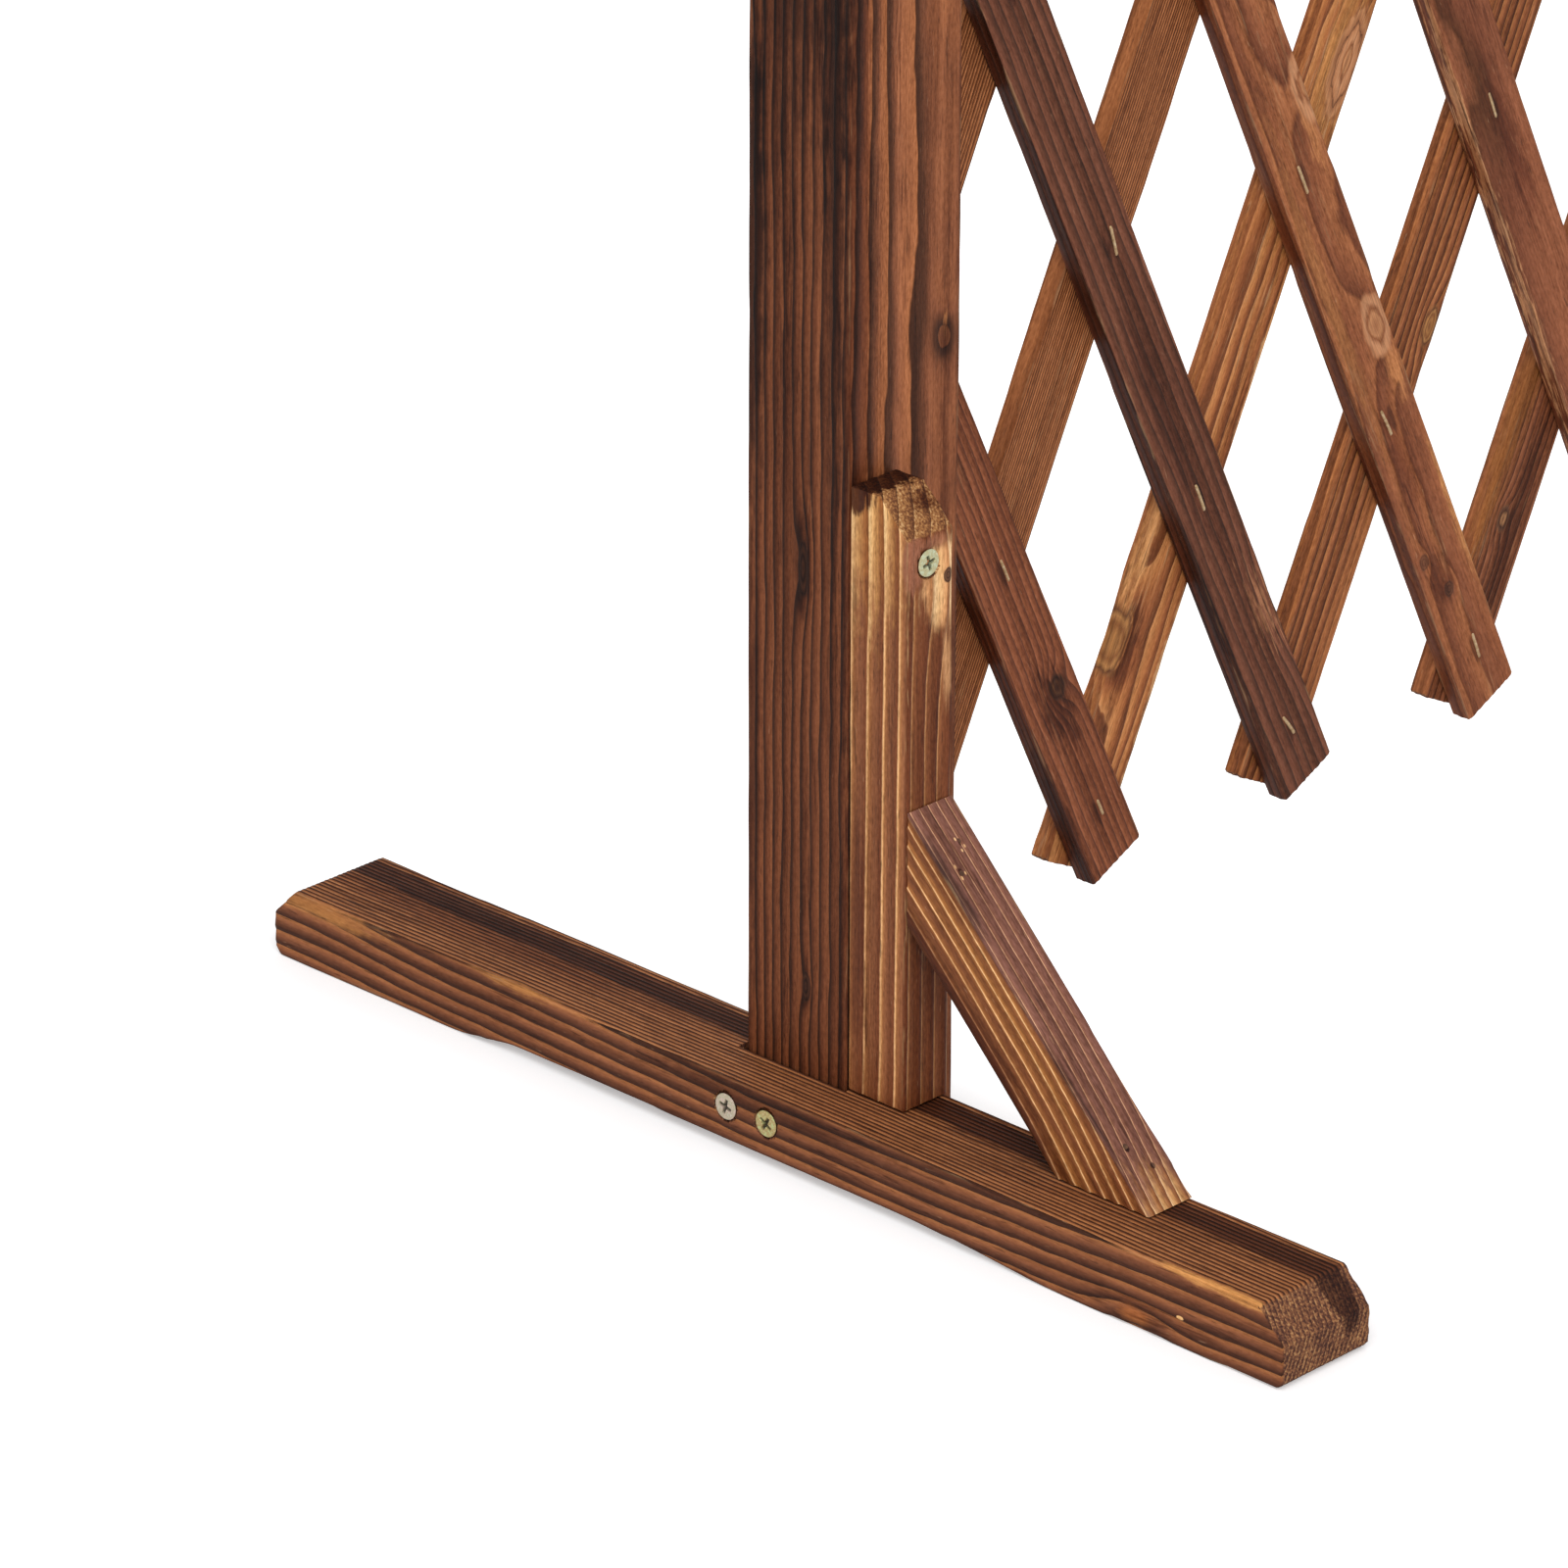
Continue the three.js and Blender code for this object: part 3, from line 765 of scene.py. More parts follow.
def foot(label, side):
    centre, size = middle_and_half(f"{label}_foot")
    post_centre, post_size = middle_and_half(f"{label}_post")
    half = (size.y, size.x, size.z)
    front = -side
    notch_ends = (
        -front * (post_centre.y / MM + post_size.y + NOTCH_SLACK),
        -front * (post_centre.y / MM - post_size.y - JOINT_GAP),
    )
    notch_floor = side * (centre.x - post_centre.x) / MM - post_size.x - JOINT_GAP
    low, high = min(notch_ends), max(notch_ends)
    screws = [middle_and_half(f"{label}_foot_screw_{name}")[0] for name in ("rear", "front")]
    seats = [(-front * place.y / MM, (place.z - centre.z) / MM) for place in screws]
    seat_lines = [u + mark for u, _ in seats for mark in SEAT_MARKS]
    lines = ruled_bar(
        half, FOOT_CELL, (low, high, *seat_lines), (notch_floor,), (TOE - half[2], half[2] - BEVEL),
    )
    points, quads = skin(lines, lambda u, v, w: (u > low) & (u < high) & (v > notch_floor))
    points = eased(points, half)
    u, v, w = points.T
    cut = np.maximum(w - (half[2] - BEVEL), 0) + np.maximum(TOE - half[2] - w, 0)
    points[:, 0] -= np.sign(u) * cut * np.clip((np.abs(u) - half[0] + END_ZONE) / END_ZONE, 0, 1)
    forward = points[:, 0] * front
    lift = np.minimum(
        rise(forward, BEARING - half[0], REAR_RUN), rise(-forward, BEARING - half[0], FRONT_RUN),
    ) * HOLLOW
    points[:, 2] += lift * (half[2] - w) / (2 * half[2])
    for seat in seats:
        dent(points, 1, -half[1], seat)
    board = fir(
        pith_across=-half[1] - 262, pith_through=104, ring_width=2.15, sway=3.6, ripple=0.7,
        relief_across=0.65, relief_through=0.25, rough=0.25, seed=5.0 + side, knots=[
            knot((-front * 255, 0, 0), (52, 60, 60), push=2.7, shown=0.0),
            knot((front * 182, -half[1], -9), (11, 30, 3.5), push=2.0, shown=0.0),
            knot((front * 40, -half[1], 16), (70, 60, 9), push=-0.8, shown=0.0),
        ],
    )
    wood = look(
        FOOT_STOPS, scorch=0.3, flecks=0.25, bump=1.4, fibre=1.0, streak=0.6,
        faces=[face((0, 0, 1), 1.0, 1.5, FOOT_TOP_STOPS, "MIX"), face((0, 1, 0), 0.6, 1.6, "8f807c")], clouds=[
            cloud((0, 12.2, half[2]), (900, 7.8, 24), "8e7e80", 1.0, inner=0.7, ragged=0.25),
            cloud((-front * 160, 2, half[2]), (150, 13, 6), "ccbcb8", 0.9),
            patch((front * 182, -half[1], -9), (12, 6, 4.5), "c07a48", 0.55),
            patch((front * 203, -half[1], -3), (1.7, 3, 0.9), "f4cc98", 1.0, inner=0.7, fine=1.6),
            cloud((front * 4, -half[1], 9), (80, 4, 6), "8c7468", 0.7),
            patch((front * 222, -half[1], half[2]), (44, 4, 3.4), "d09a62", 0.85, inner=0.6),
            patch((-front * 226, -half[1], half[2] - 4), (50, 4, 5), "c08a56", 0.7, fine=1.0),
            patch((-front * 120, -half[1], half[2]), (26, 5, 4), "c08a56", 0.8, fine=1.4),
        ],
    )
    return worked(label, "foot", centre, (0, side, 0), half, board, wood, points, quads)


on_both_sides(foot)

# %% [markdown]
# ## The posts
# A post stands in its foot's notch. Down its inner side runs a deep groove, open at the top, and the
# ends of the lattice ride in it. Its outer face took most of the flame: the dark lines are the hard
# wood, and small knots sit among them in smoky swirls.

# %% The posts
POST_STOPS = ring_ramp("0 a66d4c  0.3 9c6548  0.56 80503a  0.8 4e2f21  0.95 43281d")
POST_CELL = (6.5, 1.2, 1.1)
GROOVE_DEPTH = 33.85
GROOVE_HALF = 10.45


def post(label, side):
    centre, size = middle_and_half(f"{label}_post")
    half = (size.z, size.x, size.y)
    floor = half[1] - GROOVE_DEPTH
    outer, front = -half[1], side * half[2]

    def up(height):
        return height - centre.z / MM

    lines = ruled_bar(half, POST_CELL, (), (floor,), (-GROOVE_HALF, GROOVE_HALF))
    points, quads = skin(lines, lambda u, v, w: (v > floor) & (np.abs(w) < GROOVE_HALF))
    points = eased(points, half)
    board = fir(
        pith_across=21, pith_through=side * 92, ring_width=4.1, sway=5, ripple=3.0, drift=0.003,
        relief_across=0.35, relief_through=0.3, rough=0.2, seed=21.0 + side, knots=[
            knot((up(63), outer, side * 4.5), (7, 30, 2.4), push=2.4, shown=0.9),
            knot((up(222), outer, side * 2.5), (13, 30, 2.8), push=3.4, shown=0.95),
            knot((up(301), outer + 47, front), (5, 3.2, 20), push=3.0, burst=1.2, shown=0.35),
        ],
    )
    wood = look(
        POST_STOPS, scorch=0.4, scorch_colour="8c7064", flecks=0.3, fleck_colour="c09070",
        faces=[face((0, -1, 0), 1.0, 2.2, "c6bcb6"), face((0, 1, 0), 0.5, 2.0, "b0a4a0")], clouds=[
            cloud((up(222), outer, side * 2.5), (30, 8, 6), "8a7468", 0.9),
            cloud((up(63), outer, side * 4.5), (14, 6, 3.4), "947a6c", 0.8),
            cloud((up(330), outer, side * -22), (130, 20, 9), "6e625e", 0.9, inner=0.4),
            cloud((up(520), outer, 0), (210, 14, 60), "a2a0a8", 0.95, inner=0.3),
            cloud((up(440), outer, side * 17), (280, 6, 7), "7c7478", 0.8, inner=0.4, ragged=0.5),
            cloud((up(150), outer, side * -22), (110, 10, 5), "8c7a74", 0.7),
            cloud((up(330), outer + 5, front), (500, 7, 8), "b4a29c", 0.9, inner=0.6),
            cloud((up(301), outer + 47, front), (7, 3.6, 6), "8c685a", 0.6, ragged=1.0, fine=1.4),
            patch((up(306), outer + 47.6, front), (4.5, 1.5, 6), "d49a6c", 0.7, ragged=1.0, fine=5.0),
            cloud((up(120), outer + 49, front), (300, 7, 8), "a08c84", 0.7),
        ],
    )
    return worked(label, "post", centre, (0, 0, 1), half, board, wood, points, quads)


on_both_sides(post)

# %% [markdown]
# ## The blocks and braces
# The block is screwed to the post's front, with its top bevelled to the front. The brace is a slanting
# bar between the block and the foot, cut upright at its head and level at its toe. Both came out of
# the flame lighter: the hard ridges were brushed pale, as thin cream lines, and the wood between them
# is brown. At the block's top the flame hardly touched it, and the wood there is still golden. Above
# each pair of brads the brace has a few pale chips. The brads' heads are sunk out of sight, and over
# each a dark spot is painted as the shade of its hole, darkest at the lower pair.

# %% The blocks
BLOCK_CELL = (4.0, 0.8, 0.8)
BLOCK_BEVEL = 14.0
GOLDEN_ENDS = ramp("0 3a2015  0.34 6c4128  0.48 905e38  0.6 b07a48  0.8 dcb07c")
BLOCK_STOPS = ring_ramp("0 ecc49a  0.05 cc9c70  0.12 a06e4a  0.35 905f43  0.93 74442e")
PALE_BLOCK = ring_ramp("0 f6dab0  0.2 e8bf8c  0.45 d0a06a  0.72 a87244  0.95 8c5a34")
PALE_FIGURE = ring_ramp("0 ffe6c4  0.25 f4d0a4  0.6 e0b086  0.85 bc8860")


def block(label, side):
    centre, size = middle_and_half(f"{label}_block")
    half = (size.z, size.x, size.y)
    outer, front = -half[1], side * half[2]
    screw = middle_and_half(f"{label}_block_screw")[0]
    seat = ((screw.z - centre.z) / MM, -side * (screw.x - centre.x) / MM)
    lines = ruled_bar(half, BLOCK_CELL, seat[0] + SEAT_MARKS, (), (half[2] - BLOCK_BEVEL,))
    points, quads = skin(lines, lambda u, v, w: u > half[0])
    points = eased(points, half)
    u, v, w = points.T
    points[:, 2] = np.where(w == -front, w - side * JOINT_GAP, w)
    cut = np.maximum(BLOCK_BEVEL - (half[2] - w * side), 0)
    points[:, 0] -= cut * np.clip((u - half[0] + END_ZONE) / END_ZONE, 0, 1)
    dent(points, 2, front, seat)

    def up(height):
        return height - half[0]

    board = fir(
        pith_across=-118.2, pith_through=-side * 94, ring_width=4.95, sway=2.2, ripple=1.0, drift=0.004,
        relief_across=0.3, relief_through=0.3, rough=0.15, seed=33.0 + side, knots=[
            knot((up(196), 9, front), (17, 8, 16), push=-4.2, shown=0.0),
            knot((up(199), 8.6, front), (3.2, 2.4, 9), push=0.0, shown=0.95),
        ],
    )
    wood = look(
        BLOCK_STOPS, scorch=0.3, scorch_colour="98807a", end_stops=GOLDEN_ENDS, uneven=0.2, worn=0.55,
        worn_colour="e0b67e", flecks=0.4,
        faces=[face((0, 1, 0), 0.5, 2.0, "b0a4a0"), face((0, 0, side), 1.0, 1.6, "d8cbc4")], clouds=[
            patch((up(238), outer, -side * 3), (78, 13, 20), PALE_BLOCK, 1.0, inner=0.25, ragged=0.9),
            patch((up(197), 7, front), (21, 13, 9), PALE_FIGURE, 1.0, inner=0.55, ragged=0.5, fine=0.3),
            patch((up(208), -8, front), (13, 7, 5), "9c6a58", 0.95, inner=0.6),
            patch((up(213), 2, front), (4.5, 9, 4), "9c6a58", 0.8),
            cloud((up(232), 0, -front), (14, 30, 14), "64483a", 1.0, inner=0.8),
            cloud((up(226), 6, front - side * 8), (6, 9, 6), "8c6448", 0.9, ragged=1.2),
            patch((up(166), 8.5, front), (22, 3.5, 5), "c69c78", 0.7),
            cloud((up(60), outer, -side * 10), (70, 6, 8), "a88c82", 0.7),
            cloud((up(70), 4, front), (60, 6, 8), "a88c88", 0.5),
            cloud((up(184), 9, front), (16, 1.4, 8), "8c6048", 0.8),
        ],
    )
    return worked(label, "block", centre, (0, 0, 1), half, board, wood, points, quads)


on_both_sides(block)

# %% The braces
BRACE_CELL = (3.5, 0.8, 0.8)
BRACE_THICKNESS = 31.0
BRADS_FROM_END = ((17, 0.62), (26, 0.34))
CHIPS = ((-2.0, -1.0), (1.4, 1.5), (2.6, -0.8))
CHIP_REACH = (0.9, 0.5, 3)
PURPLE_LINED = ring_ramp("0 ecc4aa  0.09 90665e  0.4 7c5855  0.9 6c4a47  0.97 926a63")
BRACE_STOPS = ring_ramp("0 fcd8ae  0.06 b47c50  0.16 95623c  0.5 835236  0.9 7a4b32  0.97 a07048")
GOLDEN_BRACE = ring_ramp("0 fcdcb0  0.08 c48c56  0.25 a67242  0.8 8c5a36  0.97 a87a4c")


def brace(label, side):
    """A bar along the slope. Its head is cut upright and its toe level, both at 45 degrees to it."""
    low, high = (Vector(corner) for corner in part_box(f"{label}_brace"))
    downhill = Vector((0, -1, -1)).normalized()
    uphill_face = Vector((0, -1, 1)).normalized()
    head = Vector(((low.x + high.x) / 2, high.y, high.z))
    toe = Vector((head.x, low.y, low.z))
    centre = (head + toe) / 2 - uphill_face * BRACE_THICKNESS / 2 * MM
    half = ((toe - head).length / 2 / MM, (high.x - low.x) / 2 / MM, BRACE_THICKNESS / 2)
    front = -side
    lines = ruled_bar(half, BRACE_CELL, (), (), (), ends_eased=False)
    points, quads = skin(lines, lambda u, v, w: u > half[0])
    u, v, w = points.T
    points[:, 0] = u * (half[0] - (half[2] - w)) / half[0]
    arris = np.hypot(np.maximum(np.abs(v) - half[1] + EASE, 0), np.maximum(np.abs(w) - half[2] + EASE, 0))
    corner = arris > EASE * 1.01
    points[corner, 1] = np.sign(v[corner]) * (half[1] - EASE + EASE * math.sqrt(0.5))
    points[corner, 2] = np.sign(w[corner]) * (half[2] - EASE + EASE * math.sqrt(0.5))
    board = fir(
        pith_across=-123.1, pith_through=-86.5, ring_width=3.38, sway=1.6, ripple=0.7,
        relief_across=0.35, relief_through=0.25, rough=0.15, seed=44.0 + side,
        knots=[knot((front * 104, 0, 0), (32, 60, 60), push=6.0, shown=0.0)],
    )
    wood = look(
        BRACE_STOPS, scorch=0.3, scorch_colour="98807a", end_stops=GOLDEN_ENDS, worn=0.6, flecks=0.6,
        worn_colour="d9ae78",
        faces=[face((0, 0, 1), 0.9, 1.3, PURPLE_LINED, "MIX"), face((0, 0, -1), 0.5, 3.0, "a08c88")], clouds=[
            patch((front * -5, -half[1], 7), (85, 4, 8), GOLDEN_BRACE, 0.6),
            patch((front * 94, 2, half[2]), (34, 20, 9), PALE_BLOCK, 0.7, inner=0.4, ragged=0.9),
            patch((front * 56, -half[1], -8), (26, 4, 10), GOLDEN_BRACE, 0.6),
            cloud((front * -52, -9.5, half[2]), (36, 3, 3), "747078", 0.8),
            cloud((front * 30, -10.5, half[2]), (40, 2.2, 3), "86787c", 0.7),
            cloud((front * -10, -half[1], -12), (110, 4, 6), "947870", 0.9),
        ],
    )
    for from_end, share in BRADS_FROM_END:
        by_head = front * (from_end - half[0])
        by_toe = front * (half[0] - from_end + 1)
        sideways = (share - 0.5) * 2 * half[1]
        for forth, aside in CHIPS:
            place = (by_head + forth, sideways + aside, half[2])
            wood.clouds.append(patch(place, CHIP_REACH, "eccaa0", 0.8, inner=0.5))
        # Over each brad, whose head is sunk out of sight, a dark spot is painted as the shade of its hole.
        wood.clouds += [
            cloud((by_head, sideways, half[2]), (1.3, 0.9, 3), "8c6458", 0.9, inner=0.5),
            cloud((by_toe, sideways, half[2]), (1.5, 1.3, 3), "4c2e24", 0.95, inner=0.5),
        ]
    return worked(label, "brace", centre, -side * downhill, half, board, wood, points, quads)


on_both_sides(brace)

# %% [markdown]
# ## The slats
# Twenty-two slats, sawn alike and all different. They repeat, so Geometry Nodes make each one from its
# length: a gridded box with eased arrises and clipped corners, sent through the same finishing nodes.
# The lattice is regular, so its lean, the distance between nails and the counts of columns and rows
# give every nail's place. The hinges of the packed record are some of the same nails.

# %% The regular lattice
hinges = frame["record"]["behaviour"]["joints"]
LEAN = math.radians(25.9)
SPACING = 121.0
BOTTOM_ROW = 77.5
COLUMNS = 16
ROWS = 8
COLUMN_PITCH = SPACING * math.sin(LEAN)
ROW_PITCH = SPACING * math.cos(LEAN)
HALF_SPAN = COLUMN_PITCH * COLUMNS / 2
SLAT_WIDTH = 28.5
SLAT_THICKNESS = 8.5
SLAT_TAIL = 18.5
LAYER_MIDDLE = 4.4


def pivot(column, row):
    """Where a nail of the lattice is, in metres, in the plane between the layers."""
    return Vector((-HALF_SPAN + column * COLUMN_PITCH, 0, BOTTOM_ROW + row * ROW_PITCH)) * MM


def crossings(leaning, line):
    """The column and row of every nail on one slat, from the bottom up."""
    places = [(line * 2 + leaning * row, row) for row in range(ROWS + 1)]
    return [(column, row) for column, row in places if 0 <= column <= COLUMNS]


def slat_axes(leaning):
    """A slat's directions along and across. The third, through it, points to the rear."""
    slope = leaning * math.sin(LEAN)
    return Vector((slope, 0, math.cos(LEAN))), Vector((math.cos(LEAN), 0, -slope))


LAYERS = {
    "front_slat": (-1, range(1, (COLUMNS + ROWS) // 2)),
    "back_slat": (1, range(1 - ROWS // 2, COLUMNS // 2)),
}
print(len(hinges), "hinges; first nail", [round(x, 4) for x in pivot(0, 2)])

# %% The slat tree
SLAT_NUMBERS = ("Length", "Width", "Thickness", "Tail", "Clip", "Ease", "Ragged")
CLIPPED_END = 9.0
SPLINTER_REACH = (400.0, 1.6, 1.3)

slat_maker = Maker("slat", {**dict.fromkeys(SLAT_NUMBERS, "Float"), "Cell": "Vector", **board_inputs()})


def slat_blank(bench, inputs):
    """A gridded box along X with rounded arrises and clipped corners, its lowest nail at zero."""
    size = bench.joined(inputs["Length"], inputs["Width"], inputs["Thickness"])
    counts = bench.parts(bench.vector("DIVIDE", size, inputs["Cell"]))
    block = bench.node("GeometryNodeMeshCube", None, {
        "Size": size, "Vertices X": counts[0], "Vertices Y": counts[1], "Vertices Z": counts[2],
    })
    place = bench.node("GeometryNodeInputPosition")
    sign = bench.vector("SIGN", place)
    bounds = bench.vector("ABSOLUTE", place)
    ease = bench.joined(inputs["Ease"], inputs["Ease"], inputs["Ease"])
    inner = bench.vector("SUBTRACT", bench.scaled(size, 0.5), ease)
    beyond = bench.vector("MAXIMUM", bench.vector("SUBTRACT", bounds, inner), (0.0, 0.0, 0.0))
    round_part = bench.scaled(bench.vector("NORMALIZE", beyond), inputs["Ease"])
    rounded = bench.vector("ADD", bench.vector("MINIMUM", bounds, inner), round_part)
    x, y, z = bench.parts(bench.vector("MULTIPLY", sign, rounded))
    from_middle, from_axis, _ = bench.parts(bounds)
    corner = bench.math("MAXIMUM", from_axis - inputs["Width"] * 0.5 + inputs["Clip"], 0.0)
    near_end = bench.smooth(from_middle, inputs["Length"] * 0.5 - CLIPPED_END, inputs["Length"] * 0.5)
    splinters = bench.noise(place, SPLINTER_REACH, inputs["seed"], 2.0) - 0.3
    torn_off = bench.math("MAXIMUM", splinters, 0.0) * inputs["Ragged"]
    clipped = x - bench.parts(sign)[0] * (corner + torn_off) * near_end
    centred = clipped + inputs["Length"] * 0.5 - inputs["Tail"]
    return bench.node("GeometryNodeSetPosition", None, {
        "Geometry": block, "Position": bench.joined(centred, y, z),
    })


slat_maker.ends_in(finish_board(
    slat_maker.bench, slat_blank(slat_maker.bench, slat_maker.inputs), board_of(slat_maker.inputs),
    slat_maker.inputs,
))
print("slat:", len(slat_maker.tree.nodes), "nodes")

# %% [markdown]
# No two slats look alike, so each is drawn from a seeded range, and those in front of the camera are
# then set one by one after the photograph: which has fine lines, which a knot, which is nearly black.

# %% How each slat looks
REDDISH = ring_ramp("0 945c43  0.35 87533c  0.7 744533  0.9 5c3628  0.96 643a2a")
PURPLE = ring_ramp("0 764b3b  0.4 6b4336  0.72 57372c  0.9 452b23  0.96 4a2e25")
BROWN = ring_ramp("0 a0694a  0.4 915b41  0.75 7f4d37  0.92 6c3f2c")
RUSSET = ring_ramp("0 935e46  0.45 87543e  0.75 724432  0.93 553220")
FINE = ring_ramp("0 b47a56  0.4 986240  0.74 683c25  0.92 4a2917")
GOLD = ring_ramp("0 c28c60  0.25 ae764c  0.6 915a3a  0.9 6a3f27  0.96 7c4c30")
STRIPED = ring_ramp("0 a87248  0.35 935d40  0.68 70442e  0.9 4d2b1b  0.96 5a3421")
UMBER = ring_ramp("0 966249  0.35 83523b  0.65 6d4331  0.9 4c2b1e")
FRONT = -SLAT_THICKNESS / 2
RIGHT = SLAT_WIDTH / 2

BY_HAND = {
    "front_slat_1": (
        REDDISH,
        dict(pith_across=-62, pith_through=60, ring_width=2.2, sway=3, ripple=1.2, knots=[
            knot((68, 4, 0), (7, 4.5, 40), push=4.6, shown=0.75, stops=SMALL_KNOT, turns=1.2),
        ]),
        dict(scorch=0.3, clouds=[
            cloud((60, 1, FRONT), (24, 9, 8), "8c7670", 0.8, ragged=1.4, fine=1.6),
            cloud((69, 4, FRONT), (6, 6, 8), "84665c", 0.6),
            cloud((10, -RIGHT, FRONT), (60, 3.5, 9), "7c6660", 0.8),
        ]),
    ),
    "front_slat_2": (
        PURPLE,
        dict(pith_across=-64, pith_through=60, ring_width=3.1, sway=5, ripple=1.5, knots=[
            knot((62, 14, FRONT), (20, 7, 30), push=3.6, burst=0.9, shown=0.0),
        ]),
        dict(scorch=0.35, scorch_colour="a89088", flecks=0.2, torn=0.05, smoke=0.25, clouds=[
            patch((66, 9, FRONT), (22, 6, 4), "b08062", 0.5, inner=0.1, ragged=1.4, fine=7.0),
            patch((215, RIGHT, FRONT), (40, 2.2, 6), "94685a", 0.7, fine=3.0),
            cloud((170, -4, FRONT), (70, 7, 6), "a8948e", 0.6, fine=1.5),
            cloud((84, -RIGHT, FRONT), (60, 5, 6), "7c6864", 0.7),
        ]),
    ),
    "front_slat_3": (
        BROWN,
        dict(pith_across=24, pith_through=46, ring_width=4.6, sway=9, ripple=3.0, knots=[
            knot((41.5, -1.5, 0), (4, 3, 40), push=3.0, shown=0.7),
            knot((61.5, -8.5, 0), (4, 3, 40), push=2.5, shown=0.6),
            knot((169, 8, 0), (17, 8, 40), push=6.5, shown=0.9, stops=PALE_KNOT, burst=0.3, turns=0.95),
            knot((281, 14.5, 0), (20, 8, 40), push=6.5, shown=0.9, stops=PALE_KNOT, burst=0.3, turns=0.95),
        ]),
        dict(scorch=0.1, uneven=0.3, streak=1.0, torn=0.3, clouds=[
            patch((146, 10, FRONT), (20, 5, 8), "c88e64", 0.75, ragged=1.0, fine=1.2),
            patch((200, -9, FRONT), (110, 5, 8), "b07c50", 0.5, fine=1.4),
            patch((262, 10, FRONT), (20, 5, 8), "c88e64", 0.7, ragged=1.0, fine=1.2),
            cloud((50, -4, FRONT), (16, 9, 6), "a08478", 0.6, fine=1.5),
            cloud((112, -2, FRONT), (34, 7, 6), "b4988c", 0.6, fine=1.5),
            patch((70, RIGHT, FRONT), (50, 4, 7), "cf9a6a", 0.7, fine=1.4),
        ]),
    ),
    "front_slat_4": (
        RUSSET,
        dict(pith_across=2, pith_through=46, ring_width=5.0, sway=8, ripple=1.6, knots=[
            knot((250, 0, 0), (42, 7, 40), push=3.4, shown=0.0),
        ]),
        dict(scorch=0.25, uneven=0.5, streak=1.1, torn=0.3, clouds=[
            patch((200, -RIGHT, FRONT), (150, 1.7, 7), "d8a680", 0.55, ragged=1.4, fine=6.0),
            cloud((230, 2, FRONT), (60, 6, 7), "b09488", 0.7, fine=1.4),
        ]),
    ),
    "back_slat_3": (FINE, dict(pith_across=180, pith_through=30, ring_width=1.6, sway=2, ripple=0.5), {}),
    "back_slat_4": (
        FINE,
        dict(pith_across=190, pith_through=20, ring_width=1.25, sway=1.6, ripple=0.4, knots=[]),
        dict(scorch=0.1, flecks=0.3),
    ),
    "back_slat_5": (
        GOLD,
        dict(pith_across=-16, pith_through=24, ring_width=3.9, sway=9, ripple=3.6, knots=[
            knot((65.5, -13, 0), (15, 5, 40), push=7.0, burst=1.8, shown=0.8, stops=WARM_KNOT, turns=1.3),
            knot((290, 8, 0), (24, 9.5, 40), push=8.0, burst=0.4, shown=0.9, stops=PALE_KNOT, turns=1.6),
        ]),
        dict(scorch=0.2, streak=1.0, torn=0.8, clouds=[
            patch((282, 2, FRONT), (70, 14, 8), "c4925e", 0.6, ragged=1.0, fine=1.4),
            patch((60, RIGHT, FRONT), (50, 3.4, 8), "e0b890", 0.7, ragged=1.8),
            patch((180, RIGHT, FRONT), (36, 3.0, 8), "e0b890", 0.7, ragged=1.8),
            cloud((62, -6, FRONT), (24, 5, 6), "8a6450", 0.7, ragged=1.4, fine=2.4),
            patch((110, -RIGHT, FRONT), (60, 3.0, 8), "d8a878", 0.6, ragged=1.6),
        ]),
    ),
    "back_slat_6": (
        STRIPED,
        dict(pith_across=-70, pith_through=50, ring_width=3.5, sway=4, ripple=1.6, knots=[
            knot((162.5, 10, 0), (9, 4.5, 40), push=4.5, shown=0.8, stops=WARM_KNOT, turns=1.3),
        ]),
        dict(scorch=0.3, clouds=[
            patch((70, RIGHT, FRONT), (110, 9, 9), "a06a46", 0.7),
        ]),
    ),
    "back_slat_7": (
        UMBER,
        dict(pith_across=-62, pith_through=40, ring_width=3.0, sway=5, ripple=1.6, knots=[
            knot((55, -2.5, 0), (6, 4, 40), push=3.8, shown=0.9, stops=SMALL_KNOT, turns=1.2),
        ]),
        dict(scorch=0.4, clouds=[
            cloud((56, 5, FRONT), (60, 7, 8), "9a857e", 0.7, fine=1.4),
            patch((90, -RIGHT, FRONT), (90, 9, 8), "a4703f", 0.6, fine=1.2),
        ]),
    ),
}


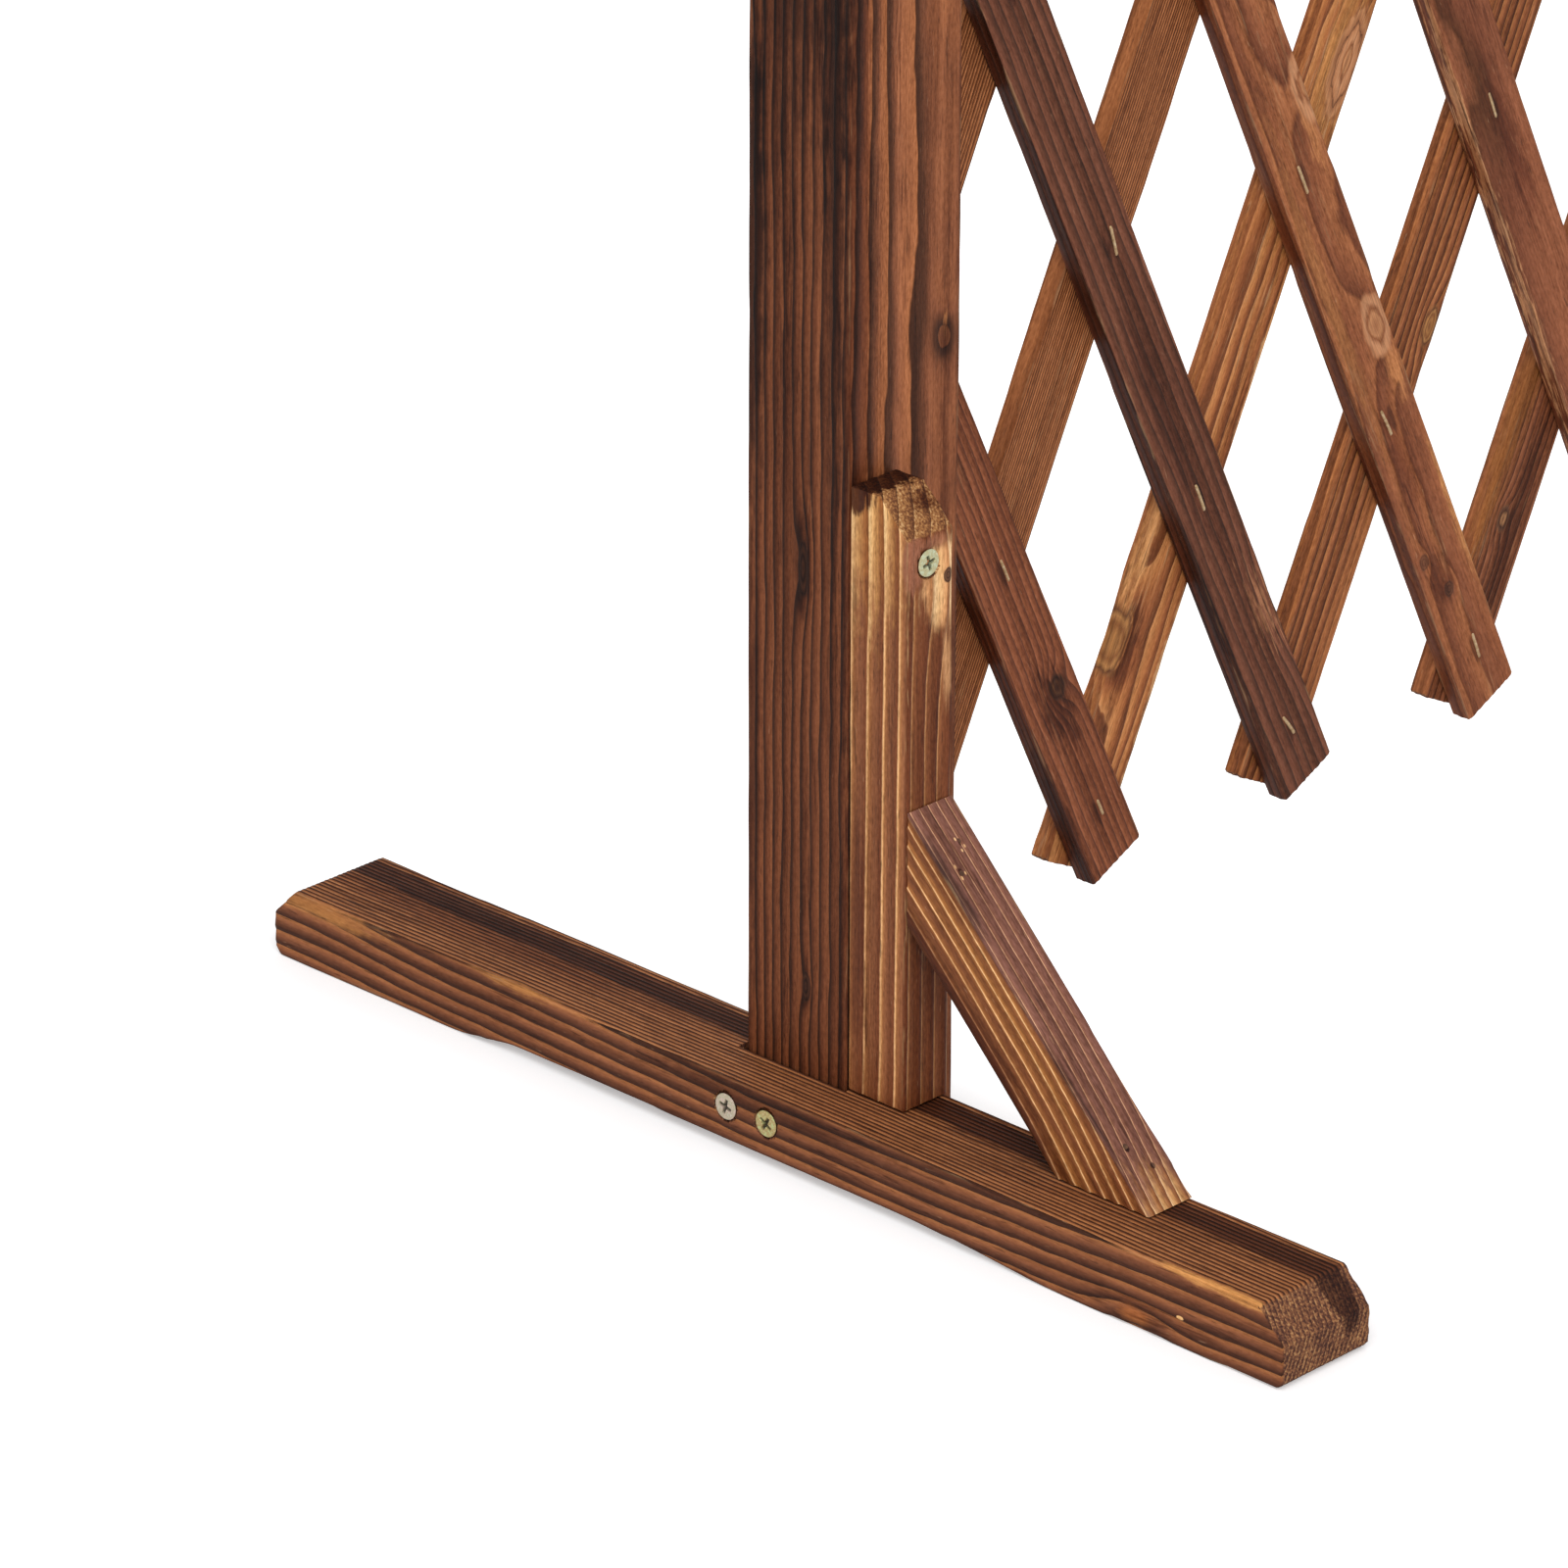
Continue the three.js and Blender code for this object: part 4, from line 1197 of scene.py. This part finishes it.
def slat_wood(name, length):
    """A board and its look, drawn at random and then corrected one by one where the photograph shows it."""
    draw = random.Random(f"{name} wood")
    numbers = {
        "pith_across": draw.uniform(-90, 90), "pith_through": draw.uniform(12, 60),
        "ring_width": draw.uniform(1.8, 4.4), "sway": draw.uniform(3, 9),
        "drift": draw.uniform(-0.015, 0.015), "ripple": draw.uniform(0.8, 2.4),
        "relief_through": 0.18, "relief_across": 0.15, "rough": 0.3, "seed": float(draw.randint(50, 900)),
    }
    stops = draw.choice([BROWN, REDDISH, PURPLE, RUSSET, GOLD, STRIPED, UMBER])
    shown = {"scorch": draw.uniform(0.1, 0.5), "torn": draw.uniform(0.1, 0.6), "uneven": 0.4}
    knots = [
        knot(
            (draw.uniform(30, length - 40), draw.uniform(-10, 10), 0), (9, 5, 40), push=draw.uniform(3, 6),
            shown=0.7, stops=draw.choice([PALE_KNOT, KNOT_STOPS]),
        )
        for _ in range(draw.randint(0, 2))
    ]
    if name in BY_HAND:
        stops, hand_numbers, hand_look = BY_HAND[name]
        numbers.update(hand_numbers)
        shown.update(hand_look)
    numbers.setdefault("knots", knots)
    in_front = name.startswith("front")
    # Front slats' left edges face down and are darkened as painted shade; back slats' left edges face up and
    # are mixed to a golden brown as painted light.
    left_edge_painted_light = ("98786a", "MULTIPLY") if in_front else ("9c6440", "MIX")
    right_edge = 0.4 if in_front else 0.5
    shown["faces"] = [face((0, -1, 0), 0.55, 0.7, *left_edge_painted_light), face((0, 1, 0), right_edge, 0.7, "b89c90")]
    shown["nailed"] = SPACING if in_front else 0.0
    return fir(**numbers), look(stops, **shown)


print(len(BY_HAND), "slats are set by hand")

# %% All twenty-two slats
SLAT_CLIP = 0.7
SLAT_EASE = 0.5
SLAT_RAGGED = 1.3
SLAT_CELL = (6.0, 1.15, 1.0)


def slat(layer, name, leaning, line):
    places = crossings(leaning, line)
    length = SPACING * (len(places) - 1) + 2 * SLAT_TAIL
    board, wood = slat_wood(name, length)
    along, across = slat_axes(leaning)
    place = pivot(*places[0]) + Vector((0, leaning * LAYER_MIDDLE * MM, 0))
    half = (length / 2, SLAT_WIDTH / 2, SLAT_THICKNESS / 2)
    material = scorched_fir(f"{name} fir", board, wood, along, half)
    numbers = (length, SLAT_WIDTH, SLAT_THICKNESS, SLAT_TAIL, SLAT_CLIP, SLAT_EASE, SLAT_RAGGED)
    piece = slat_maker.make(f"wood_{name}", {
        **board_values(board, place, along, across, material), **dict(zip(SLAT_NUMBERS, numbers)),
        "Cell": SLAT_CELL,
    })
    return belongs(piece, name, f"{layer}_wood", name)


slats = [
    slat(layer, f"{layer}_{number}", leaning, line)
    for layer, (leaning, lines) in LAYERS.items()
    for number, line in enumerate(lines, 1)
]
print(len(slats), "slats with", sum(len(piece.data.polygons) for piece in slats), "faces")

# %% [markdown]
# ## Zinc and wire
# The screws are zinc plated, and the plating has faded to green in one place and pink in another. The
# nails, brads and pins are soft brassy wire. Bare metal shows its surroundings, so most of its look is
# the roughness, which clouds and fine scratches change, specks of dirt, and a near-black painted shade
# in the cross recess of each screw.

# %% Metals
def metal(name, tints, rough, dirt_and_shade="1e1512"):
    """A clouded metal, fine scratches and all, with specks of dirt, and a near-black painted shade in what the
    attribute deep marks.
    """
    material = bpy.data.materials.new(name)
    bench = emptied(material)
    place = bench.scaled(bench.node("ShaderNodeTexCoord", output="Object"), 1 / MM)
    deep = bench.node("ShaderNodeAttribute", {"attribute_name": "deep"}, output="Fac")
    blot = bench.noise(place, (1.7, 1.7, 1.7), 4.0, 3.0)
    grit = bench.noise(place, (0.35, 0.35, 0.35), 9.0, 2.0)
    scratch = bench.noise(place, (0.12, 2.4, 2.4), 6.0, 2.0)
    colour = bench.node("ShaderNodeValToRGB", {"stops": tints}, {"Fac": blot * 1.6 - 0.3})
    # Dark specks of dirt, and a near-black painted shade over the screw's cross recess that deep marks.
    soiled_and_shaded = bench.math("MAXIMUM", deep, bench.smooth(grit, 0.6, 0.76) * 0.6)
    colour = bench.mix(colour, tint(dirt_and_shade), soiled_and_shaded)
    height = grit * 0.6 + scratch * 0.4
    bumped = bench.node("ShaderNodeBump", None, {"Strength": 0.35, "Distance": 0.0001, "Height": height})
    shader = bench.node("ShaderNodeBsdfPrincipled", None, {
        "Base Color": colour, "Metallic": 0.6 - soiled_and_shaded * 0.5, "Roughness": rough + blot * 0.2 + soiled_and_shaded * 0.3,
        "Normal": bumped,
    })
    bench.node("ShaderNodeOutputMaterial", None, {"Surface": shader})
    return material


ZINC_ROUGH = 0.24
GREEN_ZINC = metal("green zinc", ramp("0 a8b890  0.3 e0e8c4  0.6 d0c898  1 f8f2d0"), ZINC_ROUGH)
PINK_ZINC = metal("pink zinc", ramp("0 b89680  0.3 ead2c2  0.55 ccc4a4  1 fbeee2"), ZINC_ROUGH)
YELLOW_ZINC = metal("yellow zinc", ramp("0 8aa06c  0.3 d8dc9c  0.55 c4a86c  1 f8f0bc"), ZINC_ROUGH)
WIRE = metal("brassy wire", ramp("0 a08054  0.5 cfae82  1 ecd9b4"), 0.4, dirt_and_shade="5a3c2a")
BROWNED = metal("browned wire", ramp("0 4a3024  0.5 6a4a38  1 957052"), 0.5)
print("metals:", ", ".join(m.name for m in (GREEN_ZINC, PINK_ZINC, YELLOW_ZINC, WIRE, BROWNED)))

# %% [markdown]
# ## Screws
# A screw is a profile turned round an axis, with a thread and a cross recess. A lathe turns it from a
# few measures, and so do the nodes: Python writes the profile as a row of points, a grid takes one of
# its rows from each, and formulas add the thread and press the cross in. Screws differ in length
# and in how their cross happened to stop, so those are inputs.

# %% The screw tree
HEAD_ROWS = 20
DOME_SHARE = 0.93
DOME = 0.12
HEAD_RIM = ((0.98, 0.2), (1.0, 0.32), (1.0, 0.5), (0.98, 0.6))
CONE = 3.2
PLAIN_SHANK = 4
TIP = 5
ROWS_PER_MM = 3
AROUND = 96
CROSS_EDGE = 0.15
SAME_POINT = 0.001

screw_maker = Maker("screw", {
    **dict.fromkeys(
        ("Length", "Pitch", "Thread", "Turn", "Cross reach", "Cross half", "Cross depth"), "Float",
    ), **PLACING,
})


def screw_profile(head, shank, length):
    """Radius and depth of the points from the middle of the head over its rim and down to the tip."""
    shares = [i / HEAD_ROWS for i in range(HEAD_ROWS + 1)]
    points = [(head * DOME_SHARE * share, DOME * share ** 2) for share in shares]
    points += [(head * share, depth) for share, depth in HEAD_RIM]
    points += [(shank, CONE), (shank, CONE + PLAIN_SHANK)]
    threaded = length - CONE - PLAIN_SHANK
    rows = int(threaded * ROWS_PER_MM)
    for i in range(1, rows):
        depth = CONE + PLAIN_SHANK + threaded * i / rows
        points.append((shank * min(1.0, (length - depth) / TIP), depth))
    return points + [(0.0, length)]


def turned(bench, inputs):
    """A grid bent round the axis, with a row for each point of the profile, a thread and a cross."""
    table = inputs["Geometry"]
    size = bench.node("GeometryNodeAttributeDomainSize", {"component": "MESH"}, {"Geometry": table})
    grid = bench.node("GeometryNodeMeshGrid", None, {
        "Size X": 1.0, "Size Y": 1.0, "Vertices X": AROUND + 1, "Vertices Y": size,
    })
    u, v, _ = bench.parts(bench.node("GeometryNodeInputPosition"))
    row = bench.math("ROUND", (v + 0.5) * (size - 1.0))
    station = bench.node("GeometryNodeSampleIndex", {"data_type": "FLOAT_VECTOR", "domain": "POINT"}, {
        "Geometry": table, "Value": bench.node("GeometryNodeInputPosition"), "Index": row,
    })
    radius, depth, _ = bench.parts(station)
    turn = (u + 0.5) * math.tau
    wave = bench.math("PINGPONG", depth / inputs["Pitch"] - (u + 0.5), 0.5) * 2.0
    started = bench.smooth(depth, CONE + PLAIN_SHANK - 0.5, CONE + PLAIN_SHANK + 0.5)
    threaded = started * bench.smooth(inputs["Length"] - depth, 0.5, TIP)
    radius = radius + wave * wave * threaded * inputs["Thread"]
    x = radius * bench.math("COSINE", turn)
    y = radius * bench.math("SINE", turn)
    cos = bench.math("COSINE", inputs["Turn"])
    sin = bench.math("SINE", inputs["Turn"])
    one = bench.math("ABSOLUTE", x * cos + y * sin)
    other = bench.math("ABSOLUTE", y * cos - x * sin)
    narrow = bench.math("MINIMUM", one, other)
    far = bench.math("MAXIMUM", one, other)
    half = inputs["Cross half"] * (1.25 - far * 0.14)
    cut = bench.smooth(narrow, half + 0.16, half - 0.1)
    cut = cut * bench.smooth(far, inputs["Cross reach"] + CROSS_EDGE, inputs["Cross reach"] - CROSS_EDGE)
    cut = cut * bench.smooth(depth, 0.6, 0.4)
    sunk = cut * inputs["Cross depth"] * (1.0 - far / inputs["Cross reach"] * 0.55)
    # deep marks the cross recess, which the metal paints with a near-black painted shade.
    marked = bench.node("GeometryNodeStoreNamedAttribute", {"data_type": "FLOAT", "domain": "POINT"}, {
        "Geometry": grid, "Name": "deep", "Value": cut * 0.9,
    })
    shape = bench.node("GeometryNodeSetPosition", None, {
        "Geometry": marked, "Position": bench.joined(x, y, (depth + sunk) * -1.0),
    })
    return bench.node("GeometryNodeMergeByDistance", None, {"Geometry": shape, "Distance": SAME_POINT})


screw_maker.ends_in(put(screw_maker.bench, turned(screw_maker.bench, screw_maker.inputs), screw_maker.inputs))
print("screw:", len(screw_maker.tree.nodes), "nodes")

# %% All the screws
CORE_RADIUS = 1.52
SCREW_MEASURES = {"Pitch": 1.8, "Thread": 0.45, "Cross reach": 2.9, "Cross half": 0.58, "Cross depth": 2.0}

for label, side in SIDES.items():
    for name, outward, material, turn in (
        ("foot_screw_rear", (side, 0, 0), PINK_ZINC, 0.5),
        ("foot_screw_front", (side, 0, 0), YELLOW_ZINC, 0.25),
        ("block_screw", (0, -1, 0), GREEN_ZINC, 1.05),
        ("base_screw", (0, 0, -1), YELLOW_ZINC, 0.1),
    ):
        node = f"{label}_{name}"
        centre, half = middle_and_half(node)
        outward = Vector(outward)
        along = outward.orthogonal().normalized()
        length = 2 * abs(half.dot(outward))
        head = (sum(half) - length / 2) / 2
        place = centre + outward * length / 2 * MM
        start = bpy.data.meshes.new(node)
        start.from_pydata([(r, d, 0) for r, d in screw_profile(head, CORE_RADIUS, length)], [], [])
        piece = screw_maker.make(f"metal_{node}", {
            "Length": length, "Turn": turn, **SCREW_MEASURES,
            **placing(place, along, outward.cross(along), material),
        }, start)
        belongs(piece, f"{label}_frame", "screw_zinc", node)
        print(piece.name, len(piece.data.polygons), "faces,", round(length), "mm long")

# %% [markdown]
# ## Nails, brads and pins
# Every crossing of the lattice has a nail. It was driven in from behind, and its end was bent over on
# the front slat along the grain and beaten flat into the wood. Brads and pins are the same thing left
# straight. One tree makes them all from bare polylines: it rounds the bends, sweeps a wire along them
# and sets a head on each first point. The nails of a slat turn with it, so each slat's are one piece.

# %% The wire tree
BEND = 0.9
BEND_STEPS = 4
WIRE_SIDES = 12
HEAD_SIDES = 24
HEAD_TOP = 0.86

wire_maker = Maker("bent wire", {
    **dict.fromkeys(("Wire", "Bend", "Head", "Head thickness"), "Float"), "Head axis": "Vector", **PLACING,
})


def wired(bench, inputs):
    """Round wire along the polylines, with a disc for a head at each point that is marked for one."""
    lines = bench.node("GeometryNodeMeshToCurve", None, {"Mesh": inputs["Geometry"]})
    bent = bench.node("GeometryNodeFilletCurve", {"mode": "POLY"}, {
        "Curve": lines, "Count": BEND_STEPS, "Radius": inputs["Bend"], "Limit Radius": True,
    })
    ring = bench.node("GeometryNodeCurvePrimitiveCircle", {"mode": "RADIUS"}, {
        "Resolution": WIRE_SIDES, "Radius": inputs["Wire"],
    })
    wire = bench.node("GeometryNodeCurveToMesh", None, {
        "Curve": bent, "Profile Curve": ring, "Fill Caps": True,
    })
    disc = bench.node("GeometryNodeMeshCone", {"fill_type": "NGON"}, {
        "Vertices": HEAD_SIDES, "Side Segments": 1, "Fill Segments": 1,
        "Radius Top": inputs["Head"] * HEAD_TOP, "Radius Bottom": inputs["Head"],
        "Depth": inputs["Head thickness"],
    })
    headed = bench.node("GeometryNodeInputNamedAttribute", {"data_type": "BOOLEAN"}, {"Name": "headed"})
    turn = bench.node("FunctionNodeAlignRotationToVector", {"axis": "Z"}, {"Vector": inputs["Head axis"]})
    points = bench.node("GeometryNodeMeshToPoints", None, {"Mesh": inputs["Geometry"], "Selection": headed})
    heads = bench.node("GeometryNodeInstanceOnPoints", None, {
        "Points": points, "Instance": disc, "Rotation": turn,
    })
    joined = bench.node("GeometryNodeJoinGeometry")
    for part in (wire, bench.node("GeometryNodeRealizeInstances", None, {"Geometry": heads})):
        bench.tree.links.new(part.socket, joined.socket.node.inputs[0])
    return joined


wire_maker.ends_in(put(wire_maker.bench, wired(wire_maker.bench, wire_maker.inputs), wire_maker.inputs))
IN_THE_WORLD = ((0, 0, 0), (1, 0, 0), (0, 1, 0))


def wires(name, lines, wire, head, thickness, axis, where, material=WIRE):
    """Lines are lists of points in millimetres, the first under the head. where is a place and two axes."""
    start = bpy.data.meshes.new(name)
    points = [tuple(point) for line in lines for point in line]
    heads = [i == 0 for line in lines for i in range(len(line))]
    edges = [(i, i + 1) for i, next_is_head in enumerate(heads[1:]) if not next_is_head]
    start.from_pydata(points, edges, [])
    start.attributes.new("headed", "BOOLEAN", "POINT").data.foreach_set("value", heads)
    return wire_maker.make(name, {
        "Wire": wire, "Bend": BEND, "Head": head, "Head thickness": thickness, "Head axis": tuple(axis),
        **placing(*where, material),
    }, start)


print("bent wire:", len(wire_maker.tree.nodes), "nodes")

# %% The brads and the pins
BRAD_WIRE = 0.75
BRAD_HEAD = 1.0
BRAD_SUNK = 0.95
PIN_WIRE = 1.4
PIN_HEAD = 2.0

for label in SIDES:
    for name in ("upper_brad_1", "upper_brad_2", "lower_brad_1", "lower_brad_2"):
        node = f"{label}_{name}"
        centre, half = middle_and_half(node)
        outward = Vector((0, -1, 1)).normalized()
        radius = half.x
        half_length = half.y * math.sqrt(2) - radius
        ends = [centre / MM + outward * half_length, centre / MM - outward * half_length]
        ends[0] -= outward * BRAD_SUNK
        piece = wires(f"metal_{node}", [ends], BRAD_WIRE, radius, BRAD_HEAD, outward, IN_THE_WORLD, BROWNED)
        belongs(piece, f"{label}_frame", "nail_wire", node)
    node = f"{label}_lattice_pin"
    centre, half = middle_and_half(node)
    ends = [centre / MM + Vector((0, turn * (half.y - PIN_HEAD / 2), 0)) for turn in (1, -1)]
    piece = wires(f"metal_{node}", [ends], PIN_WIRE, half.x, PIN_HEAD, (0, 1, 0), IN_THE_WORLD)
    belongs(piece, f"{label}_frame", "nail_wire", node)
    print(piece.name, len(piece.data.polygons), "faces")

# %% The lattice's nails
NAIL_WIRE = 0.68
NAIL_HEAD = 2.2
NAIL_HEAD_THICKNESS = 0.8
NAIL_HEAD_OFF = 0.3
FACE_OF_LAYERS = 8.65
WITHOUT_NAIL = ((0, 2), (COLUMNS, 2), (0, ROWS), (COLUMNS, 0))
# For a slat and a nail: where the bent end starts and stops, how far it lies aside and turns aside,
# and how deep it is sunk.
CLINCH_BY_HAND = {
    (1, 0): (5.0, 12.5, 2.1, 0.0, 0.5), (1, 1): (3.0, 13.5, 2.1, 0.0, 0.5),
    (2, 0): (5.0, 15.0, 1.2, -2.2, 0.25), (2, 1): (1.0, 13.5, -0.9, 0.3, 0.25),
    (2, 2): (2.5, 14.5, 3.0, 2.0, 0.25), (3, 0): (3.0, 15.0, 1.2, 0.6, 0.35),
    (3, 1): (2.0, 15.0, -2.6, -1.0, 0.3), (3, 2): (0.5, 14.0, -1.5, 0.0, 0.3),
    (4, 2): (3.0, 15.0, -0.7, 0.4, 0.45),
}


def clinched(number, index, draw):
    """One nail in the grain space of its front slat: head behind, a bend in front, and its end sunk."""
    drawn = (
        draw.uniform(0.5, 4), draw.uniform(11.5, 15), draw.uniform(-2.5, 2.5), draw.uniform(-1.6, 1.6),
        draw.uniform(0.2, 0.5),
    )
    start, end, across, tilt, sunk = CLINCH_BY_HAND.get((number, index), drawn)
    base = index * SPACING
    rear = FACE_OF_LAYERS + LAYER_MIDDLE + NAIL_HEAD_OFF + NAIL_HEAD_THICKNESS / 2
    front = LAYER_MIDDLE - FACE_OF_LAYERS + sunk
    middle = (start + end) / 2
    return [
        (base, 0.0, rear), (base + start * 0.8, across, front + 1.6), (base + start, across, front),
        (base + middle, across + tilt * 0.45, front - 0.08),
        (base + end - 1.0, across + tilt * 0.9, front + 0.05), (base + end, across + tilt, front + 1.1),
    ]


nails = 0
leaning, slat_lines = LAYERS["front_slat"]
for number, slat_line in enumerate(slat_lines, 1):
    places = crossings(leaning, slat_line)
    draw = random.Random(number)
    lines = [clinched(number, i, draw) for i, place in enumerate(places) if place not in WITHOUT_NAIL]
    name = f"front_slat_{number}"
    where = (pivot(*places[0]) + Vector((0, leaning * LAYER_MIDDLE * MM, 0)), *slat_axes(leaning))
    piece = wires(f"metal_nails_{name}", lines, NAIL_WIRE, NAIL_HEAD, NAIL_HEAD_THICKNESS, (0, 0, 1), where)
    belongs(piece, name, "nail_wire", name)
    nails += len(lines)
print(nails, "nails in the lattice")

# %% [markdown]
# ## A pale studio
# The photograph's background is cut out and nearly white, with a little grey left close to the foot.
# The floor is a pale sheet that also glows to the camera, weakly near the feet, where the shadow is
# wanted, and more strongly further off. The glow reaches only the camera, so it lights nothing. One
# broad lamp above the left front and a weak even surrounding light the wood.

# %% Floor, world and lamp
FLOOR_REACH = 40.0
FLOOR_COLOUR = (0.86, 0.86, 0.87, 1.0)
SURROUND = 0.62
LAMP_PLACE = (-2.6, -2.4, 3.6)
LAMP_POWER = 95.0
LAMP_SIZE = 2.6
GLOW_NEAR = 0.39
GLOW_FAR = 0.75
FOOT_LINE = 0.468
FOOT_REACH = 0.25
SHADOW_REACH = (0.12, 0.03)
CORNERS = ((-1, -1), (1, -1), (1, 1), (-1, 1))

mesh = bpy.data.meshes.new("floor")
mesh.from_pydata([(x * FLOOR_REACH, y * FLOOR_REACH, 0) for x, y in CORNERS], [], [(0, 1, 2, 3)])
floor = bpy.data.objects.new("floor", mesh)
bpy.context.collection.objects.link(floor)

paper = bpy.data.materials.new("pale floor")
bench = emptied(paper)
seen = bench.node("ShaderNodeLightPath", output="Is Camera Ray")
x, y, _ = bench.parts(bench.node("ShaderNodeTexCoord", output="Object"))
beside = bench.math("ABSOLUTE", bench.math("ABSOLUTE", x) - FOOT_LINE)
beyond = bench.math("MAXIMUM", bench.math("ABSOLUTE", y) - FOOT_REACH, 0.0)
near = bench.smooth(bench.math("SQRT", beside * beside + beyond * beyond), *SHADOW_REACH)
glow = seen * (GLOW_FAR + near * (GLOW_NEAR - GLOW_FAR))
diffuse = bench.node("ShaderNodeBsdfDiffuse", None, {"Color": FLOOR_COLOUR})
shine = bench.node("ShaderNodeEmission", None, {"Color": (1, 1, 1, 1), "Strength": glow})
both = bench.node("ShaderNodeAddShader", None, {0: diffuse, 1: shine})
bench.node("ShaderNodeOutputMaterial", None, {"Surface": both})
mesh.materials.append(paper)

world = bpy.data.worlds.new("studio")
bpy.context.scene.world = world
bench = emptied(world)
seen = bench.node("ShaderNodeLightPath", output="Is Camera Ray")
sky = bench.node("ShaderNodeBackground", None, {
    "Color": (1, 1, 1, 1), "Strength": seen * (1 - SURROUND) + SURROUND,
})
bench.node("ShaderNodeOutputWorld", None, {"Surface": sky})

lamp = bpy.data.objects.new("lamp", bpy.data.lights.new("lamp", "AREA"))
lamp.data.energy = LAMP_POWER
lamp.data.size = LAMP_SIZE
lamp.location = LAMP_PLACE
lamp.rotation_euler = (-Vector(LAMP_PLACE)).to_track_quat("-Z", "Y").to_euler()
bpy.context.collection.objects.link(lamp)
print("lamp of", LAMP_POWER, "watts")

# %% Colour as it is written
bpy.context.scene.view_settings.view_transform = "Standard"
